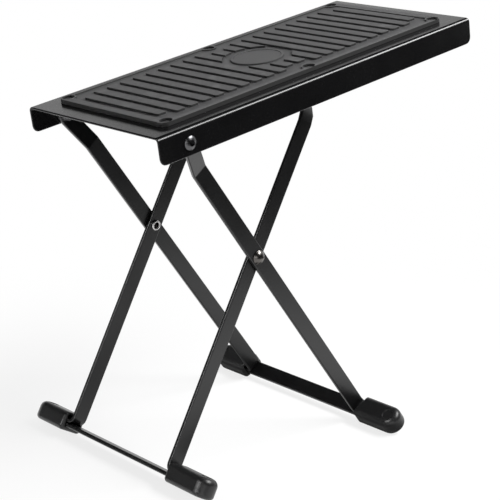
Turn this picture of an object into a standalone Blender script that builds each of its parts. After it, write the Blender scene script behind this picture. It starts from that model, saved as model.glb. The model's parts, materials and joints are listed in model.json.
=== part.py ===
"""Guitar footrest: a ribbed mat on a folded steel plate, on a scissor of flat strips.

X runs along the plate with its hinge at -X, Y runs across it and +Z is up.
The floor is z = 0 and the origin is the middle of the footrest's bounds.
The footrest stands at its highest setting. Lengths are in metres.
"""

import math

import bmesh
import bpy
from mathutils import Matrix, Vector

OBJECT_NAME = "guitar_footrest"

# Clearance, overrun of cuts and fineness of rounds
GAP = 0.0003
OVERRUN = 0.002
WELD = 0.000001
QUARTER = math.radians(90)
BEND_STEPS = 4
RIB_CORNER_STEPS = 2
DOME_STEPS = 3
ROUND_SIDES = 16
SHARP_ANGLE = math.radians(40)

# Stance: how far the plate and the two pairs of legs lean
PLATE_TILT = math.radians(10.0)
OUTER_LEAN = math.radians(37.92)
INNER_LEAN = math.radians(27.81)

# Footplate, folded from sheet
PLATE_LENGTH = 0.300
PLATE_WIDTH = 0.138
SHEET = 0.0015
FLANGE_DEPTH = 0.0188
PLATE_FOLD = 0.003
FLANGE_CORNER = 0.0048
HINGE_FROM_END = 0.025
HINGE_DROP = 0.0104

# Flat strip of the legs and crossbars
STRIP_WIDTH = 0.012
STRIP = 0.003
STRIP_EDGE = 0.0004
PIVOT_SPACING = 0.1145
OUTER_LOWER_ARM = 0.1747
JOGGLE = 0.0087
JOGGLE_RUN = 0.022
JOGGLE_BELOW_HINGE = 0.0065
JOGGLE_BEND = 0.004
HOOP_BEND = 0.018
TAB_BEND = 0.003
CROSSBAR_REACH = 0.0335
TAB_SHORT = 0.006

# Rubber foot caps
FOOT_WALL = 0.003
FOOT_END_WALL = 0.0063
FOOT_SOLE = 0.0029
FOOT_HEADROOM = 0.0010
FOOT_ROOF = 0.0020
FOOT_ROUND = 0.003
FOOT_ROUND_STEPS = 3
FOOT_DIMPLE = 0.004
FOOT_DIMPLE_DEPTH = 0.0005

# Mat and its fixings
MAT_END_MARGIN = 0.0157
MAT_SIDE_MARGIN = 0.0128
MAT_CORNER = 0.005
MAT_WALL = 0.0023
MAT_EDGE = 0.0005
RIM_STEP = 0.0009
RIM_END_WIDTH = 0.0063
RIM_SIDE_WIDTH = 0.0037
RIB_COUNT = 22
RIB_WIDTH = 0.0076
RIB_HEIGHT = 0.0015
RIB_ROOT = 0.0005
RIB_END_GAP = 0.003765
RIB_INSET = 0.0116
RIB_SHORT_INSET = 0.0171
RIB_CORNER = 0.0016
RIB_EDGE = 0.0004
MEDALLION_RADIUS = 0.019
MEDALLION_HEIGHT = 0.0011
MEDALLION_MARGIN = 0.006
MEDALLION_EDGE = 0.0004
FIXING_INSET_X = 0.0060
FIXING_INSET_Y = 0.0044
BOSS_WALL = 0.0017
FIXING_SEAT = 0.0038
FIXING_SEAT_DEPTH = 0.0010
FIXING_HEAD = 0.0034
FIXING_DOME = 0.0008
FIXING_SHANK = 0.0016
FIXING_TAIL = 0.0027
FIXING_TAIL_THICK = 0.0011

# Height rack under the plate
RACK_SIDE_CLEARANCE = 0.0002
RACK_BEND = 0.003
RACK_NOTCHES = 6
NOTCH_PITCH = 0.018
NOTCH_DEPTH = 0.0055
RACK_LEFT_MARGIN = 0.012
RACK_RIGHT_MARGIN = 0.012
RACK_CORNER = 0.003
RACK_RIVET_INSET_X = 0.014
RACK_RIVET_INSET_Y = 0.015

# Hinge bolts
BOLT_RADIUS = 0.003
BOLT_HEAD = 0.0054
BOLT_HEAD_HEIGHT = 0.0030
SOCKET_RADIUS = 0.0022
SOCKET_DEPTH = 0.0018
WASHER_RADIUS = 0.0060
WASHER_THICK = 0.0012
NUT_FLATS = 0.010
NUT_HEIGHT = 0.0036
NUT_COLLAR = 0.0044
NUT_COLLAR_HEIGHT = 0.0010
BOLT_END = 0.0006

# Rivet at the crossing of the legs
CROSS_HEAD = 0.0050
CROSS_DOME = 0.0028
CROSS_SHANK = 0.0030
CROSS_RING = 0.0037
CROSS_RING_HEIGHT = 0.0013
CROSS_BORE = 0.0022
CROSS_BORE_DEPTH = 0.0040

# Rivets of the tabs and of the rack
TAB_RIVET_FROM_END = 0.011
TAB_RIVET_RADIUS = 0.0024
TAB_RIVET_HEAD = 0.0042
TAB_RIVET_HEAD_HEIGHT = 0.0012
TAB_SINK = 0.0014
RACK_RIVET_RADIUS = 0.0020
RACK_RIVET_HEAD = 0.0034
RACK_RIVET_DOME = 0.0013
RACK_SINK = 0.0010

# Looks: base colour, roughness and metallic value
POWDER_COAT = ((0.018, 0.018, 0.019), 0.42, 0.0)
MAT_RUBBER = ((0.030, 0.030, 0.032), 0.62, 0.0)
FOOT_RUBBER = ((0.022, 0.022, 0.023), 0.55, 0.0)
DARK_STEEL = ((0.32, 0.32, 0.33), 0.28, 1.0)
BLACK_STEEL = ((0.05, 0.05, 0.052), 0.38, 1.0)

# Places that follow from the sizes
HINGE_X_ON_PLATE = HINGE_FROM_END - PLATE_LENGTH / 2
HINGE_LEG_FACE = PLATE_WIDTH / 2 - SHEET - GAP
OUTER_FACE = HINGE_LEG_FACE - JOGGLE
JOGGLE_HIGH = PIVOT_SPACING - JOGGLE_BELOW_HINGE
JOGGLE_LOW = JOGGLE_HIGH - JOGGLE_RUN
INNER_FACE = OUTER_FACE - STRIP - GAP
TAB_REACH = CROSSBAR_REACH - TAB_SHORT
TAB_RIVET_REACH = TAB_REACH - TAB_RIVET_FROM_END
FOOT_LENGTH = CROSSBAR_REACH + FOOT_END_WALL - GAP
FOOT_WIDTH = STRIP_WIDTH + 2 * FOOT_WALL
FOOT_BELOW = GAP + STRIP + GAP + FOOT_SOLE
FOOT_CAVITY_RISE = STRIP + GAP + TAB_RIVET_HEAD_HEIGHT + FOOT_HEADROOM
FOOT_ABOVE = FOOT_CAVITY_RISE + FOOT_ROOF
RACK_WIDTH = 2 * (INNER_FACE - HOOP_BEND - RACK_SIDE_CLEARANCE)
RACK_RIVET_Y = RACK_WIDTH / 2 - RACK_RIVET_INSET_Y
MAT_LENGTH = PLATE_LENGTH - 2 * MAT_END_MARGIN
MAT_WIDTH = PLATE_WIDTH - 2 * MAT_SIDE_MARGIN
FIXING_X = MAT_LENGTH / 2 - FIXING_INSET_X
FIXING_Y = MAT_WIDTH / 2 - FIXING_INSET_Y
BOSS_RADIUS = FIXING_SEAT + BOSS_WALL
GROUND_HALF_X = MAT_LENGTH / 2 - RIM_END_WIDTH
GROUND_HALF_Y = MAT_WIDTH / 2 - RIM_SIDE_WIDTH
RIB_PITCH = 2 * (GROUND_HALF_X - RIB_END_GAP - RIB_WIDTH / 2) / (RIB_COUNT - 1)
RIB_HALF = MAT_WIDTH / 2 - RIB_INSET
RIB_SHORT_HALF = MAT_WIDTH / 2 - RIB_SHORT_INSET
MEDALLION_CLEARING = MEDALLION_RADIUS + MEDALLION_MARGIN
RIM_TOP = MAT_WALL + MAT_EDGE + GAP
MAT_TOP = RIM_TOP - RIM_STEP
SCISSOR_ANGLE = OUTER_LEAN + INNER_LEAN

# Matrices that turn a flat drawing from the XY plane to face another way
FACE_Z = Matrix.Identity(4)
FACE_Y = Matrix.Rotation(QUARTER, 4, "X")
FACE_X = Matrix(((0, 0, 1, 0), (1, 0, 0, 0), (0, 1, 0, 0), (0, 0, 0, 1)))
# Turns a profile's top from +Z to +Y, which is outward on the +Y side
FACE_OUT = Matrix.Rotation(-QUARTER, 4, "X")


def foot_drop(lean):
    """Height of a leaning leg's crossbar face above the floor that its foot cap stands on."""
    down = (FOOT_BELOW - FOOT_ROUND) * math.cos(lean)
    aside = (FOOT_WIDTH / 2 - FOOT_ROUND) * math.sin(lean)
    return down + aside + FOOT_ROUND


def stance():
    """Places of the scissor pivot and the hinge, and the inner legs' lower arm."""
    pivot_z = OUTER_LOWER_ARM * math.cos(OUTER_LEAN) + foot_drop(OUTER_LEAN)
    inner_arm = (pivot_z - foot_drop(INNER_LEAN)) / math.cos(INNER_LEAN)
    hinge_z = pivot_z + PIVOT_SPACING * math.cos(OUTER_LEAN)
    left = HINGE_FROM_END * math.cos(PLATE_TILT) + HINGE_DROP * math.sin(PLATE_TILT)
    corner_x = PLATE_LENGTH - HINGE_FROM_END - FLANGE_CORNER
    corner_z = HINGE_DROP - FLANGE_DEPTH + FLANGE_CORNER
    right = corner_x * math.cos(PLATE_TILT) - corner_z * math.sin(PLATE_TILT) + FLANGE_CORNER
    hinge_x = (left - right) / 2
    pivot_x = hinge_x + PIVOT_SPACING * math.sin(OUTER_LEAN)
    return Vector((pivot_x, 0, pivot_z)), Vector((hinge_x, 0, hinge_z)), inner_arm


def on_plate(point):
    """A world place, in the plate's own frame (x along it, z from its top face)."""
    hinge = stance()[1]
    turned = Matrix.Rotation(PLATE_TILT, 3, "Y") @ (point - hinge)
    return turned + Vector((HINGE_X_ON_PLATE, 0, -HINGE_DROP))


def clear_scene():
    """Remove whatever the file opened with."""
    for item in list(bpy.data.objects):
        bpy.data.objects.remove(item, do_unlink=True)


def rounded(points, radius, closed, quarter_steps=BEND_STEPS):
    """The corners of a drawn line replaced by arcs; an open line keeps its ends."""
    count = len(points)
    radii = radius if isinstance(radius, (list, tuple)) else [radius] * count
    result = []
    for index, place in enumerate(points):
        corner = Vector(place)
        at_end = not closed and index in (0, count - 1)
        if at_end or radii[index] == 0:
            result.append(corner)
            continue
        before = (Vector(points[index - 1]) - corner).normalized()
        after = (Vector(points[(index + 1) % count]) - corner).normalized()
        turn = math.pi - before.angle(after)
        centre = corner + (before + after).normalized() * radii[index] / math.cos(turn / 2)
        spoke = corner + before * radii[index] * math.tan(turn / 2) - centre
        left_turn = before.x * after.y - before.y * after.x < 0
        steps = max(2, math.ceil(quarter_steps * turn / QUARTER))
        for step in range(steps + 1):
            angle = turn * step / steps if left_turn else -turn * step / steps
            result.append(centre + Matrix.Rotation(angle, 2) @ spoke)
    return result


def rectangle(left, right, low, high):
    """The four corners of a rectangle, anticlockwise from its lower left."""
    return [(left, low), (right, low), (right, high), (left, high)]


def add_object(name, mesh):
    """A new object in the footrest's collection."""
    piece = bpy.data.objects.new(name, mesh)
    bpy.data.collections[OBJECT_NAME].objects.link(piece)
    return piece


def weld(mesh):
    """Join touching points and turn the faces outward."""
    shape = bmesh.new()
    shape.from_mesh(mesh)
    bmesh.ops.remove_doubles(shape, verts=shape.verts, dist=WELD)
    bmesh.ops.recalc_face_normals(shape, faces=shape.faces)
    shape.to_mesh(mesh)
    shape.free()


def settle(piece):
    """Replace an object by a mesh object of what its modifiers show."""
    name = piece.name
    graph = bpy.context.evaluated_depsgraph_get()
    mesh = bpy.data.meshes.new_from_object(piece.evaluated_get(graph))
    weld(mesh)
    settled = add_object(name + "_settled", mesh)
    settled.matrix_world = piece.matrix_world
    bpy.data.objects.remove(piece, do_unlink=True)
    settled.name = name
    return settled


def drawn_curve(name, points, closed, width):
    """A flat poly curve of a width along its normal, filled when it is closed."""
    curve = bpy.data.curves.new(name, "CURVE")
    curve.dimensions = "2D"
    curve.fill_mode = "BOTH" if closed else "NONE"
    curve.extrude = width / 2
    spline = curve.splines.new("POLY")
    spline.points.add(len(points) - 1)
    for knot, place in zip(spline.points, points):
        knot.co = (place[0], place[1], 0, 1)
    spline.use_cyclic_u = closed
    return settle(add_object(name, curve))


def flat_solid(name, outline, thickness, facing):
    """A solid of a flat outline, half its thickness on each side of its plane."""
    piece = drawn_curve(name, outline, True, thickness)
    piece.data.transform(facing)
    return piece


def bent_sheet(name, path, width, thickness):
    """A sheet along a path drawn in the YZ plane through its middle, as wide along X."""
    piece = drawn_curve(name, path, False, width)
    piece.data.transform(FACE_X)
    shell = piece.modifiers.new("thickness", "SOLIDIFY")
    shell.thickness = thickness
    shell.offset = 0
    shell.use_even_offset = True
    return settle(piece)


def turned(name, profile, facing):
    """A turned solid; the profile runs from the top down, as radius and height."""
    mesh = bpy.data.meshes.new(name)
    shape = bmesh.new()
    rim = [shape.verts.new((radius, 0, height)) for radius, height in profile]
    for upper, lower in zip(rim, rim[1:]):
        shape.edges.new((upper, lower))
    shape.to_mesh(mesh)
    shape.free()
    piece = add_object(name, mesh)
    lathe = piece.modifiers.new("turn", "SCREW")
    lathe.steps = ROUND_SIDES
    lathe.render_steps = ROUND_SIDES
    lathe.use_merge_vertices = True
    lathe.merge_threshold = WELD
    piece = settle(piece)
    piece.data.transform(facing)
    return piece


def block(name, size, centre):
    """A box of a size about a centre."""
    shape = bmesh.new()
    bmesh.ops.create_cube(shape, size=1)
    bmesh.ops.scale(shape, vec=size, verts=shape.verts)
    bmesh.ops.translate(shape, vec=centre, verts=shape.verts)
    mesh = bpy.data.meshes.new(name)
    shape.to_mesh(mesh)
    shape.free()
    return add_object(name, mesh)


def rod(name, radius, length, centre, facing, sides=ROUND_SIDES, tip_radius=None):
    """A cylinder, or a cone with a tip radius, about a centre, along the faced axis."""
    shape = bmesh.new()
    tip = radius if tip_radius is None else tip_radius
    bmesh.ops.create_cone(shape, cap_ends=True, segments=sides, radius1=radius,
                          radius2=tip, depth=length)
    bmesh.ops.transform(shape, matrix=facing, verts=shape.verts)
    bmesh.ops.translate(shape, vec=centre, verts=shape.verts)
    mesh = bpy.data.meshes.new(name)
    shape.to_mesh(mesh)
    shape.free()
    return add_object(name, mesh)


def combine(piece, tool, operation):
    """Cut, keep or join with a tool, which is then removed."""
    cut = piece.modifiers.new("combine", "BOOLEAN")
    cut.operation = operation
    cut.solver = "EXACT"
    cut.object = tool
    result = settle(piece)
    bpy.data.objects.remove(tool, do_unlink=True)
    return result


def drill(piece, radius, length, centre, facing):
    """A round hole through a piece."""
    return combine(piece, rod("drill", radius, length, centre, facing), "DIFFERENCE")


def break_edges(piece, width, steps=1):
    """Bevel every sharp edge."""
    edge = piece.modifiers.new("edge", "BEVEL")
    edge.width = width
    edge.segments = steps
    edge.limit_method = "ANGLE"
    edge.angle_limit = SHARP_ANGLE
    return settle(piece)


def carry_ends(piece, ends, stages):
    """Carry a solid's flat upper (1) or lower (-1) end on through stages of inset and rise."""
    shape = bmesh.new()
    shape.from_mesh(piece.data)
    for end in ends:
        flat = [face for face in shape.faces if face.normal.z * end > math.cos(SHARP_ANGLE)]
        face = bmesh.ops.dissolve_faces(shape, faces=flat)["region"][0]
        for inset, rise in stages:
            bmesh.ops.inset_region(shape, faces=[face], thickness=inset, depth=rise)
    shape.to_mesh(piece.data)
    shape.free()
    return piece


def quarter_round(radius, steps):
    """Stages of inset and rise round a quarter circle."""
    places = []
    for step in range(steps + 1):
        angle = QUARTER * step / steps
        places.append((radius - radius * math.cos(angle), radius * math.sin(angle)))
    return [(b[0] - a[0], b[1] - a[1]) for a, b in zip(places, places[1:])]


def empty(name, parent, location, lean):
    """An empty on a joint's axis, leaned about Y."""
    axis = bpy.data.objects.new(name, None)
    bpy.data.collections[OBJECT_NAME].objects.link(axis)
    axis.parent = parent
    axis.location = location
    axis.rotation_euler = (0, lean, 0)
    return axis


def place(piece, name, looks, parent, location=(0, 0, 0), turn=0):
    """Name a piece, paint it, shade it and hang it on its joint's empty."""
    colour, roughness, metallic = looks
    paint = bpy.data.materials.new(name)
    paint.use_nodes = True
    shader = paint.node_tree.nodes["Principled BSDF"]
    shader.inputs["Base Color"].default_value = (*colour, 1)
    shader.inputs["Roughness"].default_value = roughness
    shader.inputs["Metallic"].default_value = metallic
    piece.name = name
    piece.data.name = name
    piece.data.materials.clear()
    piece.data.materials.append(paint)
    piece.data.shade_smooth()
    piece.data.set_sharp_from_angle(angle=SHARP_ANGLE)
    piece.parent = parent
    piece.location = location
    piece.rotation_euler = (0, 0, turn)
    return piece


def copy_of(piece, name, looks, parent, location=(0, 0, 0), turn=0):
    """A second piece like the first."""
    twin = add_object(name, piece.data.copy())
    return place(twin, name, looks, parent, location, turn)


def dome(radius, height, base):
    """Profile of a domed head from its crown down to its rim."""
    ball = (radius * radius + height * height) / (2 * height)
    reach = math.asin(min(1, radius / ball))
    places = []
    for step in range(DOME_STEPS + 1):
        angle = reach * step / DOME_STEPS
        places.append((ball * math.sin(angle), base + height - ball + ball * math.cos(angle)))
    return places


def make_footplate():
    """The folded sheet: flat top, a flange down each long side, open ends."""
    side = (PLATE_WIDTH - SHEET) / 2
    path = [(-side, -FLANGE_DEPTH - OVERRUN), (-side, -SHEET / 2),
            (side, -SHEET / 2), (side, -FLANGE_DEPTH - OVERRUN)]
    path = rounded(path, PLATE_FOLD - SHEET / 2, False)
    sheet = bent_sheet("footplate", path, PLATE_LENGTH + 2 * OVERRUN, SHEET)
    half = PLATE_LENGTH / 2
    outline = rectangle(-half, half, -FLANGE_DEPTH, OVERRUN)
    outline = rounded(outline, [FLANGE_CORNER, FLANGE_CORNER, 0, 0], True)
    trim = flat_solid("trim", outline, PLATE_WIDTH + 2 * OVERRUN, FACE_Y)
    plate = combine(sheet, trim, "INTERSECT")
    hinge = (HINGE_X_ON_PLATE, 0, -HINGE_DROP)
    plate = drill(plate, BOLT_RADIUS + GAP, PLATE_WIDTH + OVERRUN, hinge, FACE_Y)
    for x, y in fixing_places():
        plate = drill(plate, FIXING_SHANK + GAP, SHEET + OVERRUN, (x, y, -SHEET / 2), FACE_Z)
    for x, y in rack_rivet_places():
        plate = drill(plate, RACK_RIVET_RADIUS + GAP, SHEET + OVERRUN,
                      (x, y, -SHEET / 2), FACE_Z)
        plate = combine(plate, rack_sink(x, y), "DIFFERENCE")
    return plate


def rack_sink(x, y):
    """Cone that sinks a rack rivet's head in the plate's top face."""
    slope = (RACK_RIVET_HEAD - RACK_RIVET_RADIUS) / RACK_SINK
    depth = RACK_SINK + OVERRUN
    wide = RACK_RIVET_HEAD + GAP + OVERRUN * slope
    centre = (x, y, OVERRUN - depth / 2)
    return rod("sink", RACK_RIVET_RADIUS + GAP, depth, centre, FACE_Z, tip_radius=wide)


def fixing_places():
    """Centres of the mat's six fixings."""
    return [(x, y) for x in (-FIXING_X, 0, FIXING_X) for y in (-FIXING_Y, FIXING_Y)]


def rib_outlines():
    """Plan outlines of the ribs; those beside a fixing are shorter."""
    middle = (RIB_COUNT - 1) / 2
    outlines = []
    for index in range(RIB_COUNT):
        x = (index - middle) * RIB_PITCH
        beside_end = index in (0, RIB_COUNT - 1)
        beside_middle = abs(index - middle) < 1
        half = RIB_SHORT_HALF if beside_end or beside_middle else RIB_HALF
        left = x - RIB_WIDTH / 2
        outlines.append(rectangle(left, left + RIB_WIDTH, -half, half))
    return outlines


def make_mat():
    """Rubber mat: steep wall, rim, six bosses, sunk ground, cross ribs and a round medallion."""
    half_x = MAT_LENGTH / 2
    half_y = MAT_WIDTH / 2
    base = rounded(rectangle(-half_x, half_x, -half_y, half_y), MAT_CORNER, True)
    mat = flat_solid("mat", base, MAT_WALL, FACE_Z)
    mat.data.transform(Matrix.Translation((0, 0, GAP + MAT_WALL / 2)))
    mat = carry_ends(mat, [1], [(MAT_EDGE, MAT_EDGE)])
    depth = RIM_STEP + OVERRUN
    ground_outline = rectangle(-GROUND_HALF_X, GROUND_HALF_X, -GROUND_HALF_Y, GROUND_HALF_Y)
    ground = flat_solid("ground", ground_outline, depth, FACE_Z)
    ground.data.transform(Matrix.Translation((0, 0, MAT_TOP + depth / 2)))
    for x, y in fixing_places():
        boss = rod("boss", BOSS_RADIUS, 2 * depth, (x, y, MAT_TOP + depth / 2), FACE_Z)
        ground = combine(ground, boss, "DIFFERENCE")
    mat = combine(mat, ground, "DIFFERENCE")
    for outline in rib_outlines():
        rib = raised_bar("rib", outline)
        if abs(outline[0][0] + RIB_WIDTH / 2) < MEDALLION_CLEARING:
            height = RIB_HEIGHT + 2 * OVERRUN
            clearing = rod("clearing", MEDALLION_CLEARING, 2 * height, (0, 0, MAT_TOP),
                           FACE_Z, 3 * ROUND_SIDES)
            rib = combine(rib, clearing, "DIFFERENCE")
        mat = combine(mat, rib, "UNION")
    disc = rod("disc", MEDALLION_RADIUS, MEDALLION_HEIGHT + OVERRUN / 2,
               (0, 0, MAT_TOP + MEDALLION_HEIGHT / 2 - OVERRUN / 4), FACE_Z, 2 * ROUND_SIDES)
    disc = break_edges(disc, MEDALLION_EDGE)
    mat = combine(mat, disc, "UNION")
    for x, y in fixing_places():
        seat = (x, y, RIM_TOP - FIXING_SEAT_DEPTH + OVERRUN)
        mat = drill(mat, FIXING_SEAT, 2 * OVERRUN, seat, FACE_Z)
        mat = drill(mat, FIXING_SHANK + GAP, 2 * RIM_TOP, (x, y, 0), FACE_Z)
    return mat


def raised_bar(name, outline):
    """A rib with rounded corners that stands on the mat's ground and sinks into it."""
    corners = rounded(outline, RIB_CORNER, True, RIB_CORNER_STEPS)
    bar = flat_solid(name, corners, RIB_HEIGHT + RIB_ROOT, FACE_Z)
    bar.data.transform(Matrix.Translation((0, 0, MAT_TOP + (RIB_HEIGHT - RIB_ROOT) / 2)))
    return break_edges(bar, RIB_EDGE)


def make_mat_fixing():
    """Round head in the mat's seat, shank through the plate, and a spread tail under it."""
    seat = RIM_TOP - FIXING_SEAT_DEPTH + GAP
    tail = -SHEET - GAP
    profile = dome(FIXING_HEAD, FIXING_DOME, seat)
    profile += [(FIXING_SHANK, seat), (FIXING_SHANK, tail), (FIXING_TAIL, tail),
                (FIXING_TAIL, tail - FIXING_TAIL_THICK), (0, tail - FIXING_TAIL_THICK)]
    return turned("fixing", profile, FACE_Z)


def hoop_bar():
    """Middle of the hoop's top bar on the plate, and the lean of its strip there."""
    pivot = stance()[0]
    up = Vector((math.sin(INNER_LEAN), 0, math.cos(INNER_LEAN)))
    middle = on_plate(pivot + up * PIVOT_SPACING)
    return middle, INNER_LEAN + PLATE_TILT


def bar_corner():
    """The top corner of the hoop's bar, which sets the rack's first notch and tooth tips."""
    middle, lean = hoop_bar()
    x = middle.x + STRIP / 2 * math.sin(lean) - STRIP_WIDTH / 2 * math.cos(lean)
    z = middle.z + STRIP / 2 * math.cos(lean) + STRIP_WIDTH / 2 * math.sin(lean)
    return x, z


def notch_lean(x):
    """Lean of the hoop from the plate's normal when its bar is under a place on the rack."""
    middle = hoop_bar()[0]
    reach = math.hypot(x - HINGE_X_ON_PLATE, middle.z + HINGE_DROP)
    half_scissor = math.asin(min(1, reach / (2 * PIVOT_SPACING)))
    below = math.asin((-HINGE_DROP - middle.z) / reach)
    return half_scissor + below


def rack_ends():
    """Left and right end of the rack on the plate."""
    first = bar_corner()[0]
    last = first + (RACK_NOTCHES - 1) * NOTCH_PITCH
    return first - RACK_LEFT_MARGIN, last + RACK_RIGHT_MARGIN


def rack_rivet_places():
    """Centres of the rack's four rivets."""
    left, right = rack_ends()
    columns = (left + RACK_RIVET_INSET_X, right - RACK_RIVET_INSET_X)
    return [(x, y) for x in columns for y in (-RACK_RIVET_Y, RACK_RIVET_Y)]


def make_rack():
    """Channel whose rails are notched to hold the hoop's bar at each height."""
    first, corner_z = bar_corner()
    tips = corner_z + GAP
    roof = -SHEET - GAP
    left, right = rack_ends()
    outline = [(left, tips)]
    for index in range(RACK_NOTCHES):
        x = first + index * NOTCH_PITCH
        run = NOTCH_DEPTH / math.tan(notch_lean(x))
        outline.append((x, tips))
        outline.append((x, tips + NOTCH_DEPTH))
        outline.append((x + run, tips))
    outline.append((right, tips))
    outline.append((right, roof + OVERRUN))
    outline.append((left, roof + OVERRUN))
    radii = [RACK_CORNER] + [0] * (3 * RACK_NOTCHES) + [RACK_CORNER, 0, 0]
    trim = flat_solid("trim", rounded(outline, radii, True), RACK_WIDTH + OVERRUN, FACE_Y)
    side = (RACK_WIDTH - SHEET) / 2
    path = [(-side, tips - OVERRUN), (-side, roof - SHEET / 2),
            (side, roof - SHEET / 2), (side, tips - OVERRUN)]
    path = rounded(path, RACK_BEND - SHEET / 2, False)
    channel = bent_sheet("channel", path, right - left + 2 * OVERRUN, SHEET)
    channel.data.transform(Matrix.Translation(((left + right) / 2, 0, 0)))
    rack = combine(channel, trim, "INTERSECT")
    for x, y in rack_rivet_places():
        centre = (x, y, roof - SHEET / 2)
        rack = drill(rack, RACK_RIVET_RADIUS + GAP, SHEET + OVERRUN, centre, FACE_Z)
    return rack


def make_rack_rivet():
    """Countersunk head flush with the plate, domed head under the rack."""
    under = -2 * SHEET - 2 * GAP
    profile = [(0, 0), (RACK_RIVET_HEAD, 0), (RACK_RIVET_RADIUS, -RACK_SINK),
               (RACK_RIVET_RADIUS, under)]
    lower = dome(RACK_RIVET_HEAD, RACK_RIVET_DOME, 0)
    profile += [(radius, under - height) for radius, height in reversed(lower)]
    return turned("rack_rivet", profile, FACE_Z)


def make_outer_leg():
    """Strip for the +Y side: rounded top, joggle, and a tab bent out over the crossbar."""
    hinge_y = HINGE_LEG_FACE - STRIP / 2
    leg_y = OUTER_FACE - STRIP / 2
    tab_z = -OUTER_LOWER_ARM + STRIP / 2
    top = PIVOT_SPACING + STRIP_WIDTH / 2
    tab_end = OUTER_FACE + TAB_REACH
    path = [(hinge_y, top + OVERRUN), (hinge_y, JOGGLE_HIGH), (leg_y, JOGGLE_LOW),
            (leg_y, tab_z), (tab_end, tab_z)]
    path = rounded(path, [0, JOGGLE_BEND, JOGGLE_BEND, TAB_BEND + STRIP / 2, 0], False)
    strip = bent_sheet("outer_leg", path, STRIP_WIDTH + 2 * OVERRUN, STRIP)
    half = STRIP_WIDTH / 2
    outline = rectangle(-half, half, -OUTER_LOWER_ARM - OVERRUN, top)
    outline = rounded(outline, [0, 0, half, half], True)
    trim = flat_solid("trim", outline, 2 * (tab_end + OVERRUN), FACE_Y)
    leg = combine(strip, trim, "INTERSECT")
    leg = break_edges(leg, STRIP_EDGE)
    leg = drill(leg, BOLT_RADIUS + GAP, STRIP + OVERRUN, (0, hinge_y, PIVOT_SPACING), FACE_Y)
    leg = drill(leg, CROSS_SHANK + GAP, STRIP + OVERRUN, (0, leg_y, 0), FACE_Y)
    rivet = (0, OUTER_FACE + TAB_RIVET_REACH, tab_z)
    return drill(leg, TAB_RIVET_RADIUS + GAP, STRIP + OVERRUN, rivet, FACE_Z)


def make_hoop(lower_arm):
    """One strip: tab, leg, bend, top bar, bend, leg and tab."""
    leg_y = INNER_FACE - STRIP / 2
    tab_z = -lower_arm + STRIP / 2
    half_path = [(INNER_FACE + TAB_REACH, tab_z), (leg_y, tab_z), (leg_y, PIVOT_SPACING)]
    path = half_path + [(-y, z) for y, z in reversed(half_path)]
    tab_bend = TAB_BEND + STRIP / 2
    top_bend = HOOP_BEND - STRIP / 2
    path = rounded(path, [0, tab_bend, top_bend, top_bend, tab_bend, 0], False)
    hoop = bent_sheet("inner_hoop", path, STRIP_WIDTH, STRIP)
    hoop = break_edges(hoop, STRIP_EDGE)
    for side in (-1, 1):
        hoop = drill(hoop, CROSS_SHANK + GAP, STRIP + OVERRUN, (0, side * leg_y, 0), FACE_Y)
        hoop = drill(hoop, TAB_RIVET_RADIUS + GAP, STRIP + OVERRUN,
                     (0, side * (INNER_FACE + TAB_RIVET_REACH), tab_z), FACE_Z)
    return hoop


def make_crossbar(leg_face):
    """Strip under the tabs; its upper face is a gap below z = 0."""
    middle_z = -GAP - STRIP / 2
    length = 2 * (leg_face + CROSSBAR_REACH)
    bar = block("crossbar", (STRIP_WIDTH, length, STRIP), (0, 0, middle_z))
    bar = break_edges(bar, STRIP_EDGE)
    slope = (TAB_RIVET_HEAD - TAB_RIVET_RADIUS) / TAB_SINK
    for side in (-1, 1):
        y = side * (leg_face + TAB_RIVET_REACH)
        bar = drill(bar, TAB_RIVET_RADIUS + GAP, STRIP + OVERRUN, (0, y, middle_z), FACE_Z)
        depth = TAB_SINK + OVERRUN
        low = -GAP - STRIP - OVERRUN
        wide = TAB_RIVET_HEAD + GAP + OVERRUN * slope
        sink = rod("sink", wide, depth, (0, y, low + depth / 2), FACE_Z,
                   tip_radius=TAB_RIVET_RADIUS + GAP)
        bar = combine(bar, sink, "DIFFERENCE")
    return bar


def make_tab_rivet():
    """Domed head on the tab, foot spread into the crossbar's countersink."""
    seat = STRIP + GAP
    low = -GAP - STRIP
    profile = dome(TAB_RIVET_HEAD, TAB_RIVET_HEAD_HEIGHT, seat)
    profile += [(TAB_RIVET_RADIUS, seat), (TAB_RIVET_RADIUS, low + TAB_SINK),
                (TAB_RIVET_HEAD, low), (0, low)]
    return turned("tab_rivet", profile, FACE_Z)


def make_foot_cap():
    """Rubber cap: rounded outer end, open mouth, pocket for tab and crossbar, bare dimple."""
    half = FOOT_WIDTH / 2
    outline = rectangle(-half, half, 0, FOOT_LENGTH)
    outline = rounded(outline, [FOOT_ROUND, FOOT_ROUND, half, half], True)
    height = FOOT_BELOW + FOOT_ABOVE - 2 * FOOT_ROUND
    cap = flat_solid("foot_cap", outline, height, FACE_Z)
    cap.data.transform(Matrix.Translation((0, 0, (FOOT_ABOVE - FOOT_BELOW) / 2)))
    cap = carry_ends(cap, [1, -1], quarter_round(FOOT_ROUND, FOOT_ROUND_STEPS))
    depth = CROSSBAR_REACH
    low = -GAP - STRIP - GAP
    pocket = block("pocket", (STRIP_WIDTH + 2 * GAP, depth + OVERRUN, FOOT_CAVITY_RISE - low),
                   (0, (depth - OVERRUN) / 2, (FOOT_CAVITY_RISE + low) / 2))
    cap = combine(cap, pocket, "DIFFERENCE")
    dimple = (0, FOOT_LENGTH - half, FOOT_ABOVE - FOOT_DIMPLE_DEPTH + OVERRUN)
    return drill(cap, FOOT_DIMPLE, 2 * OVERRUN, dimple, FACE_Z)


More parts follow.
